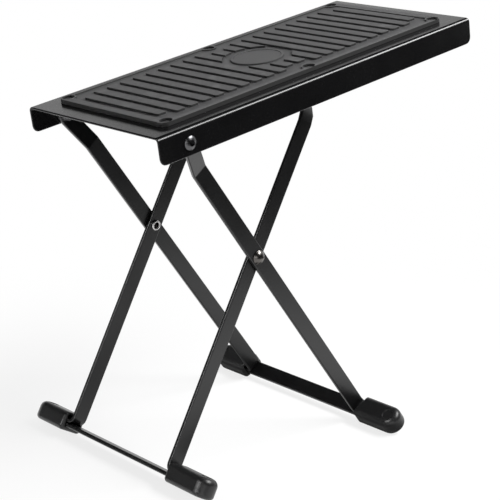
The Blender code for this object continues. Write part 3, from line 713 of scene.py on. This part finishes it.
# %% Start and run a tree of repeated pieces
class Pattern(Graph):
    """A Geometry Nodes tree with named inputs."""

    KINDS = {"count": "NodeSocketInt", "length": "NodeSocketFloat",
             "shape": "NodeSocketGeometry", "finish": "NodeSocketMaterial"}

    def __init__(self, name, **inputs):
        tree = bpy.data.node_groups.new(name, "GeometryNodeTree")
        super().__init__(tree)
        for label, kind in inputs.items():
            tree.interface.new_socket(label.replace("_", " "), in_out="INPUT",
                                      socket_type=self.KINDS[kind])
        tree.interface.new_socket("Shape", in_out="OUTPUT", socket_type="NodeSocketGeometry")
        self.entry = tree.nodes.new("NodeGroupInput")

    def given(self, label):
        """One of the named inputs."""
        return Value(self, self.entry.outputs[label])

    def close(self, shape, finish):
        """End the tree with real geometry that has its finish."""
        real = self.node("GeometryNodeRealizeInstances", {}, {0: shape})
        painted = self.node("GeometryNodeSetMaterial", {}, {"Geometry": real, "Material": finish})
        exit_node = self.tree.nodes.new("NodeGroupOutput")
        self.tree.links.new(painted.socket, exit_node.inputs[0])

    def grow(self, mesh, **values):
        """Run the tree on a mesh and keep what it makes."""
        bench = in_scene("bench", mesh)
        modifier = bench.modifiers.new(self.tree.name, "NODES")
        modifier.node_group = self.tree
        for item in self.tree.interface.items_tree:
            label = item.name.replace(" ", "_")
            if item.in_out == "INPUT" and label in values:
                modifier[item.identifier] = values[label]
        result = evaluated(bench)
        print(self.tree.name, "made", len(result.polygons), "faces")
        return result


print("ready: trees with named inputs")


# %% Rows of the same piece
def rows_of_pieces():
    """Tree that sets a piece in columns along X and rows along Y; a front row may turn."""
    pattern = Pattern("rows_of_pieces", Piece="shape", Columns="count", Rows="count",
                      Column_spacing="length", Row_spacing="length", Front_turn="length",
                      Material="finish")
    given = pattern.given
    columns, rows = given("Columns"), given("Rows")
    index = pattern.node("GeometryNodeInputIndex", {}, {})
    column = pattern.maths("MODULO", index, columns)
    row = pattern.maths("FLOOR", index / columns, 0)
    x = (column - (columns - 1) * 0.5) * given("Column spacing")
    y = (row - (rows - 1) * 0.5) * given("Row spacing")
    turn = pattern.vector(z=(y < 0) * given("Front turn"))
    points = pattern.node("GeometryNodePoints", {}, {0: columns * rows, 1: pattern.vector(x, y)})
    placed = pattern.node("GeometryNodeInstanceOnPoints", {}, {
        "Points": points, "Instance": given("Piece"), "Rotation": turn})
    pattern.close(placed, given("Material"))
    return pattern


rows = rows_of_pieces()
print("tree:", rows.tree.name, "with", len(rows.tree.nodes), "nodes")

# %% [markdown]
# ## The ribbed mat
#
# The real mat is one pressing: a steep wall, a rim round a sunk ground, twenty-two
# cross ribs, a round medallion in the middle and six bosses level with the rim for the
# studs. A grid of points pushed up would need a million of them for crisp ribs. A
# stack of outlines gives the wall, booleans sink the ground, and the ribs grow from a
# tree.

# %% Sizes of the mat
MAT_LENGTH = 0.2686
MAT_WIDTH = 0.1124
MAT_CORNER = 0.005
MAT_DRAFT = 0.0001
RIM_TOP = 0.0031
GROUND = 0.0022
RIM_END_WIDTH = 0.0063
RIM_SIDE_WIDTH = 0.0037
RIM_EDGE = 0.0003
SUNK_EDGE = 0.00022
RIB_EDGE = 0.00045
STUD_X = 0.1283
STUD_Y = 0.0518
BOSS_RADIUS = 0.0055
SEAT_RADIUS = 0.0043
SEAT_DEPTH = 0.0018
STUD_HOLE_RADIUS = 0.0019
MEDALLION_RADIUS = 0.019
MEDALLION_HEIGHT = 0.0011
MEDALLION_SUNK = 0.0004
MEDALLION_FOOT = 0.0004
stud_places = [(x, y) for x in (-STUD_X, 0, STUD_X) for y in (-STUD_Y, STUD_Y)]
print("mat:", MAT_LENGTH, "x", MAT_WIDTH, "m, ground", GROUND, "m over the plate")


# %% Wall, rim, sunk ground and bosses
def mat_ground():
    """The mat without its ribs: wall, rim, sunk ground, and six bosses with their seats."""
    outline = rounded(rectangle(-MAT_LENGTH / 2, MAT_LENGTH / 2, -MAT_WIDTH / 2, MAT_WIDTH / 2),
                      [MAT_CORNER] * 4, 10)
    shoulder = RIM_TOP - RIM_EDGE
    wall = [(MAT_DRAFT, 0.00005), (0, 0.0002), (MAT_DRAFT, shoulder)]
    slab = stacked(outline, wall + quarter(RIM_EDGE, MAT_DRAFT, shoulder, 5)[1:])
    half_x = MAT_LENGTH / 2 - RIM_END_WIDTH
    half_y = MAT_WIDTH / 2 - RIM_SIDE_WIDTH
    sunk = stacked(rectangle(-half_x, half_x, -half_y, half_y),
                   [(0, GROUND), (-0.0002, RIM_TOP), (-0.0002, RIM_TOP + PAST)])
    spots = [Matrix.Translation((x, y, 0)) for x, y in stud_places]
    high = RIM_TOP + 2 * PAST
    sunk = cut(sunk, *[moved(cylinder(BOSS_RADIUS, 0, high), spot) for spot in spots])
    slab = cut(slab, sunk)
    for spot in spots:
        seat = cylinder(SEAT_RADIUS, RIM_TOP - SEAT_DEPTH, high)
        hole = cylinder(STUD_HOLE_RADIUS, -PAST, high, 24)
        slab = cut(slab, moved(seat, spot), moved(hole, spot))
    return soft_edges(slab, SUNK_EDGE, steps=2, angle=50)


ground = mat_ground()
print("ground of the mat:", len(ground.polygons), "faces")

# %% [markdown]
# ### Ribs from a tree
#
# A line of points carries one unit rectangle each, stretched to its rib's length
# before its corners are rounded, so that a short rib has the same corners as a long
# one. The ribs beside the studs are shorter. They are filled, raised and cut round
# by the clearing of the medallion, and at last their top edges are rounded.

# %% Tree of the ribs
def rib_pattern():
    """Tree that draws the ribs across the mat and clears a circle in the middle."""
    pattern = Pattern("ribs_of_the_mat", Ribs="count", Pitch="length", Width="length",
                      Half_length="length", Short_half_length="length", Corner="length",
                      Height="length", Foot="length", Clearing="length", Material="finish")
    given = pattern.given
    ribs = given("Ribs")
    middle = (ribs - 1) * 0.5
    index = pattern.node("GeometryNodeInputIndex", {}, {})
    away = pattern.size(index - middle)
    short = pattern.maths("MAXIMUM", away < 1, away > middle - 0.5)
    trimmed = given("Half length") - given("Short half length")
    long_way = (given("Half length") - short * trimmed) * 2
    spot = pattern.vector((index - middle) * given("Pitch"))
    points = pattern.node("GeometryNodePoints", {}, {0: ribs, 1: spot})
    unit = pattern.node("GeometryNodeCurvePrimitiveQuadrilateral", {}, {0: given("Width"), 1: 1.0})
    drawn = pattern.node("GeometryNodeInstanceOnPoints", {}, {
        "Points": points, "Instance": unit, "Scale": pattern.vector(1.0, long_way, 1.0)})
    real = pattern.node("GeometryNodeRealizeInstances", {}, {0: drawn})
    corners = pattern.node("GeometryNodeFilletCurve", {"mode": "POLY"}, {
        "Curve": real, "Count": 5, "Radius": given("Corner")})
    flat = pattern.node("GeometryNodeFillCurve", {"mode": "NGONS"}, {"Curve": corners})
    tall = given("Height") + given("Foot")
    raised = pattern.node("GeometryNodeExtrudeMesh", {"mode": "FACES"}, {
        "Mesh": flat, "Offset Scale": tall, "Individual": False})
    below = pattern.node("GeometryNodeFlipFaces", {}, {"Mesh": flat})
    both = pattern.tree.nodes.new("GeometryNodeJoinGeometry")
    pattern.tree.links.new(raised.socket, both.inputs[0])
    pattern.tree.links.new(below.socket, both.inputs[0])
    whole = pattern.node("GeometryNodeMergeByDistance", {}, {
        "Geometry": Value(pattern, both.outputs[0]), "Distance": NEAR})
    tool = pattern.node("GeometryNodeMeshCylinder", {}, {
        "Vertices": 128, "Radius": given("Clearing"), "Depth": tall * 6})
    exact_cut = {"operation": "DIFFERENCE", "solver": "EXACT"}
    cleared = pattern.node("GeometryNodeMeshBoolean", exact_cut, {"Mesh 1": whole, "Mesh 2": tool})
    placed = pattern.node("GeometryNodeTransform", {}, {
        "Geometry": cleared, "Translation": pattern.vector(z=0 - given("Foot"))})
    pattern.close(placed, given("Material"))
    return pattern


ribs = rib_pattern()
print("tree:", ribs.tree.name, "with", len(ribs.tree.nodes), "nodes")

# %% Grow the ribs and put the mat together
def mat_mesh():
    """The whole mat, flat, with z = 0 on the plate."""
    drawn = ribs.grow(bpy.data.meshes.new("empty"), Ribs=22, Pitch=0.01147, Width=0.0076,
                      Half_length=0.0446, Short_half_length=0.0391, Corner=0.0016,
                      Height=0.0015, Foot=0.0005, Clearing=0.025, Material=pressed_rubber)
    raised = moved(drawn, Matrix.Translation((0, 0, GROUND)))
    bars = soft_edges(raised, RIB_EDGE, steps=3, angle=50)
    rim = MEDALLION_RADIUS
    top = GROUND + MEDALLION_HEIGHT
    middle = top - MEDALLION_SUNK
    bottom = GROUND - MEDALLION_FOOT
    disc = [(0, middle), (rim - 0.0019, middle), (rim - 0.0017, top), (rim - 0.0005, top),
            (rim - 0.00015, top - 0.00015), (rim, top - 0.0005), (rim + 0.0003, bottom),
            (0, bottom)]
    return joined(ground, bars, lathe(disc, 96))


fitted("ribbed_mat", moved(mat_mesh(), on_plate), pressed_rubber, "mat_rubber", "top",
       "tread_mat", sharp=30)

# %% [markdown]
# ## Studs of the mat and rivets of the rack
#
# Six studs hold the mat: a low round head in each seat, a shank through the plate and
# a spread tail under it. Four countersunk rivets hold the rack. Each is drawn once as
# a turned profile, and the tree of rows sets out the others.

# %% Studs and rack rivets
STUD_SHANK = 0.0016
RACK_RIVET_SHANK = 0.0020
RACK_RIVET_ROWS = 0.044
RACK_RIVETS = [f"rack_rivet_{number}" for number in range(1, 5)]


def dome(radius, height, base, steps=8):
    """Profile of a round head, from its crown to its rim."""
    ball = (radius * radius + height * height) / (2 * height)
    reach = math.asin(radius / ball)
    angles = [reach * step / steps for step in range(steps + 1)]
    return [(ball * math.sin(a), base + height - ball + ball * math.cos(a)) for a in angles]


def stud():
    """Low head with a soft rim, shank and spread tail."""
    seat = RIM_TOP - SEAT_DEPTH + GAP
    tail = -SHEET - GAP
    profile = dome(0.0027, 0.0004, seat + 0.0003) + [(0.0029, seat + 0.0002), (0.0029, seat)]
    profile += [(STUD_SHANK, seat), (STUD_SHANK, tail), (0.0025, tail), (0.0027, tail - 0.0003),
                (0.0026, tail - 0.0009), (0.0022, tail - 0.0011), (0, tail - 0.0011)]
    return lathe(profile, 36)


def rack_rivet():
    """Countersunk head level with the plate, round head under the rack."""
    under = -2 * SHEET - 2 * GAP
    lower = [(radius, under - height) for radius, height in reversed(dome(0.0034, 0.0013, 0))]
    profile = [(0, -0.00012), (0.0011, -0.00012), (0.0013, 0), (0.0032, 0), (0.0034, -0.0001),
               (RACK_RIVET_SHANK, -0.0010), (RACK_RIVET_SHANK, under)]
    return lathe(profile + lower, 36)


stud_row = rows.grow(stud(), Columns=3, Rows=2, Column_spacing=STUD_X, Row_spacing=2 * STUD_Y,
                     Material=black_steel)
fitted("mat_studs", moved(stud_row, on_plate), black_steel, "black_steel", "top",
       *[f"mat_fixing_{number}" for number in range(1, 7)])

boxes = [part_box(name) for name in RACK_RIVETS]
middles = sorted((on_plate.inverted() @ ((low + high) / 2)).x for low, high in boxes)
rivet_row = rows.grow(rack_rivet(), Columns=2, Rows=2, Column_spacing=middles[-1] - middles[0],
                      Row_spacing=RACK_RIVET_ROWS, Material=black_steel)
shift = Matrix.Translation(((middles[0] + middles[-1]) / 2, 0, 0))
fitted("rack_rivet_heads", moved(rivet_row, on_plate @ shift), black_steel, "black_steel",
       "top", *RACK_RIVETS)

# %% [markdown]
# ## Screws and rivets of the scissor
#
# The hinge screw has a round button head with a hexagon socket, the crossing rivet a
# round head outside and a rolled hollow end inside, and the crossbar rivets a low
# head on the tab. All are drawn along Z. The hinge parts and the crossing rivets are
# laid outward along Y, and the front one of each of their pairs is the back one turned
# half round.

# %% Screw, washer and nut of the hinge
LAY_OUTWARD = Matrix.Rotation(-math.pi / 2, 4, "X")
LEG_FACE_AT_HINGE = PLATE_WIDTH / 2 - SHEET - GAP
SOCKET_RADIUS = 0.0020
SOCKET_DEPTH = 0.0018
THREAD_TURNS = 9
THREAD_RADIUS = 0.0030
THREAD_ROOT = 0.0027
SCREW_EDGE = 0.00012
BORE_RADIUS = 0.0033
WASHER_RADIUS = 0.0060
WASHER_THICKNESS = 0.0012
WASHER_EDGE = 0.0002
NUT_ACROSS_FLATS = 0.010
NUT_DEPTH = 0.0046
HEXAGON_DEPTH = 0.0036
NUT_EDGE = 0.00015
PAIR_SPREAD = 0.1

washer_inner = LEG_FACE_AT_HINGE - STRIP - GAP - WASHER_THICKNESS
nut_inner = washer_inner - GAP - NUT_DEPTH


def prism(radius, low, high):
    """A hexagon across Z, as a tool or a blank."""
    corners = [math.radians(60 * corner) for corner in range(6)]
    outline = [Vector((radius * math.cos(a), radius * math.sin(a))) for a in corners]
    return stacked(outline, [(0, low), (0, high)])


def hinge_screw():
    """Button head with a socket, threaded shank."""
    seat = PLATE_WIDTH / 2 + GAP
    crown = seat + 0.0021
    head = dome(0.0046, 0.0017, seat + 0.0004, 12) + [(0.0048, seat + 0.0002), (0.0047, seat)]
    shank = [(THREAD_RADIUS, seat)]
    top = washer_inner
    bottom = nut_inner - 0.0006
    for turn in range(THREAD_TURNS):
        high = top - (top - bottom - 0.0006) * turn / THREAD_TURNS
        root = high - (top - bottom) / THREAD_TURNS / 2
        shank += [(THREAD_RADIUS, high), (THREAD_ROOT, root)]
    shank += [(THREAD_RADIUS, bottom + 0.0005), (0.0025, bottom), (0, bottom)]
    socket = prism(SOCKET_RADIUS, crown - SOCKET_DEPTH, crown + PAST)
    return soft_edges(cut(lathe(head + shank), socket), SCREW_EDGE, steps=2, angle=55)


def hinge_washer():
    """Flat washer with broken edges."""
    low, high = washer_inner, washer_inner + WASHER_THICKNESS
    radius, edge = WASHER_RADIUS, WASHER_EDGE
    return lathe([(BORE_RADIUS, high), (radius - edge, high), (radius, high - edge),
                  (radius, low + edge), (radius - edge, low), (BORE_RADIUS, low),
                  (BORE_RADIUS, high)])


def hinge_nut():
    """Hexagon lock nut with rounded corners and its round collar inward."""
    outer = washer_inner - GAP
    inner = outer - HEXAGON_DEPTH
    radius = NUT_ACROSS_FLATS / 2 / math.cos(math.pi / 6)
    blank = prism(radius, inner, outer)
    cone = [(0, outer + PAST), (radius + 0.002, outer + PAST), (radius, outer - 0.0002),
            (radius, inner + 0.0006), (radius - 0.0012, inner), (radius - 0.0012, inner - PAST),
            (0, inner - PAST)]
    nut = cut(blank, lathe(cone), operation="INTERSECT")
    collar = [(0, inner + PAST), (0.0044, inner + PAST), (0.0044, nut_inner + 0.0003),
              (0.0041, nut_inner), (0, nut_inner)]
    nut = cut(nut, lathe(collar), operation="UNION")
    bore = cylinder(BORE_RADIUS, nut_inner - 2 * PAST, outer + 2 * PAST)
    return soft_edges(cut(nut, bore), NUT_EDGE, steps=2, angle=45)


def two_sides(mesh, spacing, finish, turn=math.pi):
    """A piece at the back, and its twin at the front turned half round."""
    return rows.grow(mesh, Columns=1, Rows=2, Row_spacing=spacing, Front_turn=turn,
                     Material=finish)


def fitted_pair(name, mesh, matrix, finish, slot, solid):
    """Lay a piece drawn along Z outward, give it its twin, and finish both."""
    laid = moved(mesh, LAY_OUTWARD)
    centred = moved(laid, Matrix.Translation((0, -PAIR_SPREAD / 2, 0)))
    both = moved(two_sides(centred, PAIR_SPREAD, finish), matrix)
    fitted(name, both, finish, slot, "outer_frame", f"{solid}_front", f"{solid}_back")


at_hinge = leaned(hinge, -OUTER_LEAN)
fitted_pair("hinge_screws", hinge_screw(), at_hinge, hinge_steel, "bright_steel", "pivot_bolt")
fitted_pair("hinge_washers", hinge_washer(), at_hinge, black_steel, "black_steel", "pivot_washer")
fitted_pair("hinge_nuts", hinge_nut(), at_hinge, black_steel, "black_steel", "pivot_nut")

# %% Rivets of the crossing and of the crossbars
OUTER_FACE = 0.0585
INNER_FACE = 0.0552
CROSSING_SHANK = 0.0030
TAB_RIVET_SHANK = 0.0024
TAB_RIVET_REACH = 0.0165
LOWER_ENDS = (("outer", on_outer_legs @ Matrix.Translation((0, 0, -OUTER_LOWER_ARM)), OUTER_FACE),
              ("inner", on_inner_legs @ Matrix.Translation((0, 0, -INNER_LOWER_ARM)), INNER_FACE))


def crossing_rivet():
    """Round head outside, hollow end rolled over inside."""
    seat = OUTER_FACE + GAP
    inside = INNER_FACE - STRIP - GAP
    end = inside - 0.0013
    head = dome(0.0048, 0.0025, seat + 0.0003, 12) + [(0.0050, seat + 0.0001), (0.0049, seat)]
    roll = [(CROSSING_SHANK, seat), (CROSSING_SHANK, inside), (0.0035, inside),
            (0.0037, inside - 0.0003), (0.0037, end + 0.0004), (0.0034, end + 0.0001),
            (0.0030, end), (0.0025, end + 0.0001), (0.0022, end + 0.0005),
            (0.0021, end + 0.0070), (0, end + 0.0074)]
    return lathe(head + roll)


def tab_rivet():
    """Low head on the tab, foot spread into the crossbar."""
    seat = STRIP + GAP
    low = -GAP - STRIP
    head = dome(0.0040, 0.0010, seat + 0.0002) + [(0.0042, seat + 0.0001), (0.0041, seat)]
    foot = [(TAB_RIVET_SHANK, seat), (TAB_RIVET_SHANK, low + 0.0014), (0.0042, low), (0, low)]
    return lathe(head + foot, 36)


fitted_pair("crossing_rivets", crossing_rivet(), on_outer_legs, crossing_steel, "bright_steel",
            "cross_rivet")
for name, down, leg_face in LOWER_ENDS:
    ends = two_sides(tab_rivet(), 2 * (leg_face + TAB_RIVET_REACH), black_steel, turn=0.0)
    fitted(f"{name}_crossbar_rivets", moved(ends, down), black_steel, "black_steel",
           f"{name}_frame", f"crossbar_rivet_{name}_front", f"crossbar_rivet_{name}_back")

# %% [markdown]
# ## Foot caps
#
# Each cap is a moulded rubber boot over the end of a crossbar and the tab above it:
# square where the leg goes in, half round at its outer end, with well rounded top and
# bottom edges and a shallow dimple on top. Stacks of insets draw the roundings, wide
# along the cap and narrow at its mouth, and cuts open the pocket and the dimple.

# %% Caps
CAP_LENGTH = 0.0395
CAP_WIDTH = 0.018
CAP_SOLE = 0.0029
CAP_ROOF = 0.0020
CAP_MOUTH_CORNER = 0.0031
CAP_MOUTH_EDGE = 0.0030
CAP_SOLE_EDGE = 0.0030
CAP_TOP_EDGE = 0.0048
CAP_SLANT = 0.0040
CAP_TRIM = 0.00002
CAP_EDGE = 0.0005
HIDDEN_CORNER = 0.0055
TAB_TOP = 0.0055
POCKET_HALF_WIDTH = 0.0063
POCKET_DEPTH = 0.0335
CAP_LOW = -(GAP + STRIP + GAP + CAP_SOLE)
CAP_HIGH = TAB_TOP + CAP_ROOF


def rounded_block(outline, bottom_round, top_round, trim):
    """The cap's height of an outline, with round bottom and top edges."""
    low = CAP_LOW + bottom_round + trim
    high = CAP_HIGH - top_round - trim
    lower = [(edge, low - height) for edge, height in reversed(quarter(bottom_round, 0, 0, 8))]
    return stacked(outline, lower + quarter(top_round, 0, high, 8))


def foot_cap():
    """One cap, from its mouth at y = 0 outward."""
    half = CAP_WIDTH / 2
    corners = [(-half, CAP_SLANT), (half, 0), (half, CAP_LENGTH), (-half, CAP_LENGTH)]
    outline = rounded(corners, [CAP_MOUTH_CORNER, CAP_MOUTH_CORNER, half, half], 12)
    side = half - CAP_TRIM
    end = CAP_LENGTH - CAP_TRIM
    long_outline = rounded(rectangle(-side, side, -CAP_LENGTH, end),
                           [HIDDEN_CORNER, HIDDEN_CORNER, side, side], 12)
    cap = cut(rounded_block(outline, CAP_MOUTH_EDGE, CAP_MOUTH_EDGE, 0),
              rounded_block(long_outline, CAP_SOLE_EDGE, CAP_TOP_EDGE, CAP_TRIM),
              operation="INTERSECT")
    floor = -GAP - STRIP - GAP
    pocket = rectangle(-POCKET_HALF_WIDTH, POCKET_HALF_WIDTH, -2 * PAST, POCKET_DEPTH)
    pocket = stacked(pocket, [(0, floor), (0, TAB_TOP)])
    high = CAP_HIGH + PAST
    dimple = [(0, high), (0.0042, high), (0.0040, CAP_HIGH - 0.0004), (0.0036, CAP_HIGH - 0.0005),
              (0, CAP_HIGH - 0.0005)]
    spot = Matrix.Translation((0, CAP_LENGTH - half, 0))
    cap = cut(cap, pocket, moved(lathe(dimple), spot))
    return soft_edges(cap, CAP_EDGE, steps=3, angle=50)


cap_mesh = foot_cap()
for name, down, leg_face in LOWER_ENDS:
    both = two_sides(cap_mesh, 2 * (leg_face + GAP), moulded_rubber)
    fitted(f"{name}_foot_caps", moved(both, down), moulded_rubber, "foot_rubber",
           f"{name}_frame", f"foot_cap_{name}_front", f"foot_cap_{name}_back")

# %% [markdown]
# ## Floor and light
#
# Behind the footrest stands a white sweep, high on the left a bright window and beside
# the camera a white card, in a room that is dark elsewhere. One long soft lamp hangs
# high in front on the right. The floor is plain and pale. Rays that come from the
# camera see it white. To rays that a shiny surface sends back it glows as a painted
# reflection: a painted pool of light, dark far off on the right, with painted shadow
# under the plate and beside the feet. The lamp stays at a plain level, so that black
# stays black.

# %% Floor
FLOOR_REACH = 6
BEHIND = Vector((math.sin(BEARING), math.cos(BEARING), 0))
low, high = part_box("foot_cap_outer_front")
FOOT_LINE = abs(low.x + high.x) / 2


def seen_ray(graph):
    """Two masks: rays from the camera, and rays from a gloss or through glass."""
    kinds = [graph.node("ShaderNodeLightPath", {}, {}, name)
             for name in ("Is Camera Ray", "Is Glossy Ray", "Is Transmission Ray")]
    return kinds[0], graph.maths("MAXIMUM", kinds[1], kinds[2])


def pale_floor():
    """White paint that turns to pure white away from the footrest, and to shiny surfaces glows
    with a painted pool of light and painted shadow.
    """
    paint = Finish("pale_floor", Roughness=0.9, Base_Color=(0.86, 0.86, 0.86, 1),
                   Specular_IOR_Level=0.1)
    camera_ray, gloss_ray = seen_ray(paint)
    distance = paint.node("ShaderNodeVectorMath", {"operation": "LENGTH"}, {0: paint.place}, 1)
    behind = paint.along(paint.place, BEHIND)
    across = paint.along(paint.place, level)
    far = paint.ramp(distance, 0.12, 0.45)
    # For what shiny surfaces see: a painted pool of light, dark far off on the right, with painted
    # shadow under the plate.
    away = paint.ramp(distance, 0.28, 0.62) * paint.ramp(across, 0.10, 0.35)
    under = 1 - paint.ramp(distance, 0.06, 0.20)
    lit = (1 - away * (1 - paint.ramp(behind, 0.30, 0.75))) * (1 - under * 0.5)
    x, y = [paint.size(paint.part(paint.place, axis)) for axis in "XY"]
    # Painted shadow beside the feet, in what shiny surfaces see of the floor.
    feet = paint.ramp(y, 0.035, 0.060) * (1 - paint.ramp(y, 0.105, 0.130))
    beside = 1 - paint.ramp(paint.size(x - FOOT_LINE), 0.020, 0.045)
    mirrored = paint.blend(lit * (1 - feet * beside * 0.75), (0.02, 0.02, 0.02), (1.4, 1.4, 1.4))
    white = paint.node("ShaderNodeEmission", {}, {
        "Color": paint.blend(gloss_ray, (1, 1, 1), mirrored), "Strength": 1.0})
    share = camera_ray * (0.80 + far * 0.20) + gloss_ray
    mixed = paint.node("ShaderNodeMixShader", {}, {0: share, 2: white})
    paint.tree.links.new(paint.shader.outputs[0], mixed.socket.node.inputs[1])
    exit_node = paint.tree.nodes["Material Output"]
    paint.tree.links.new(mixed.socket, exit_node.inputs["Surface"])
    return paint.material


floor_mesh = bpy.data.meshes.new("floor")
corners = rectangle(-FLOOR_REACH, FLOOR_REACH, -FLOOR_REACH, FLOOR_REACH)
floor_mesh.from_pydata([(*corner, 0) for corner in corners], [], [(0, 1, 2, 3)])
floor_mesh.materials.append(pale_floor())
floor_mesh.materials[0].cycles.emission_sampling = "NONE"
floor = in_scene("floor", floor_mesh)
print("floor:", floor_mesh.materials[0].name)


# %% World and lamp
WINDOW = Vector((-0.849, 0.084, 0.518))
LAMP_PLACE = Vector((0.64, -0.66, 1.20))
LAMP_TARGET = Vector((0, 0, 0.15))
LAMP_WIDTH = 1.00
LAMP_HEIGHT = 0.36
LAMP_WATTS = 30


def studio_world():
    """White to the camera; to gloss a sweep, a card and a window; dim to the rest."""
    world = bpy.data.worlds.new("studio")
    world.use_nodes = True
    world.cycles.sampling_method = "NONE"
    bpy.context.scene.world = world
    room = Graph(world.node_tree)
    direction = room.node("ShaderNodeTexCoord", {}, {}, "Generated")
    behind = room.along(direction, BEHIND)
    height = room.part(direction, "Z")
    camera_ray, gloss_ray = seen_ray(room)
    back = room.ramp(behind, 0.15, 0.60)
    sweep = back * (1 - room.ramp(height, 0.36, 0.52))
    card = room.ramp(0 - behind, 0.90, 0.97) * (1 - room.ramp(height, 0.30, 0.45))
    window = room.ramp(room.along(direction, WINDOW), 0.960, 0.978)
    shining = sweep * 1.02 + card * 2.5 + window * 11.0 + 0.01
    unseen = gloss_ray * shining + (1 - gloss_ray) * (back * 0.35 + 0.22)
    strength = camera_ray + (1 - camera_ray) * unseen
    background = world.node_tree.nodes["Background"]
    world.node_tree.links.new(strength.socket, background.inputs["Strength"])
    background.inputs["Color"].default_value = (1, 1, 1, 1)


studio_world()
lamp_data = bpy.data.lights.new("high_on_the_right", "AREA")
lamp_data.shape = "RECTANGLE"
lamp_data.size = LAMP_WIDTH
lamp_data.size_y = LAMP_HEIGHT
lamp_data.energy = LAMP_WATTS
lamp = in_scene("high_on_the_right", lamp_data)
lamp.location = LAMP_PLACE
lamp.rotation_euler = (LAMP_TARGET - LAMP_PLACE).to_track_quat("-Z", "Y").to_euler()
print(lamp.name, "at", [round(v, 2) for v in LAMP_PLACE])

# %% [markdown]
#
# The colours are shown as they are, with the Standard view.

# %% Standard view
bpy.context.scene.view_settings.view_transform = "Standard"
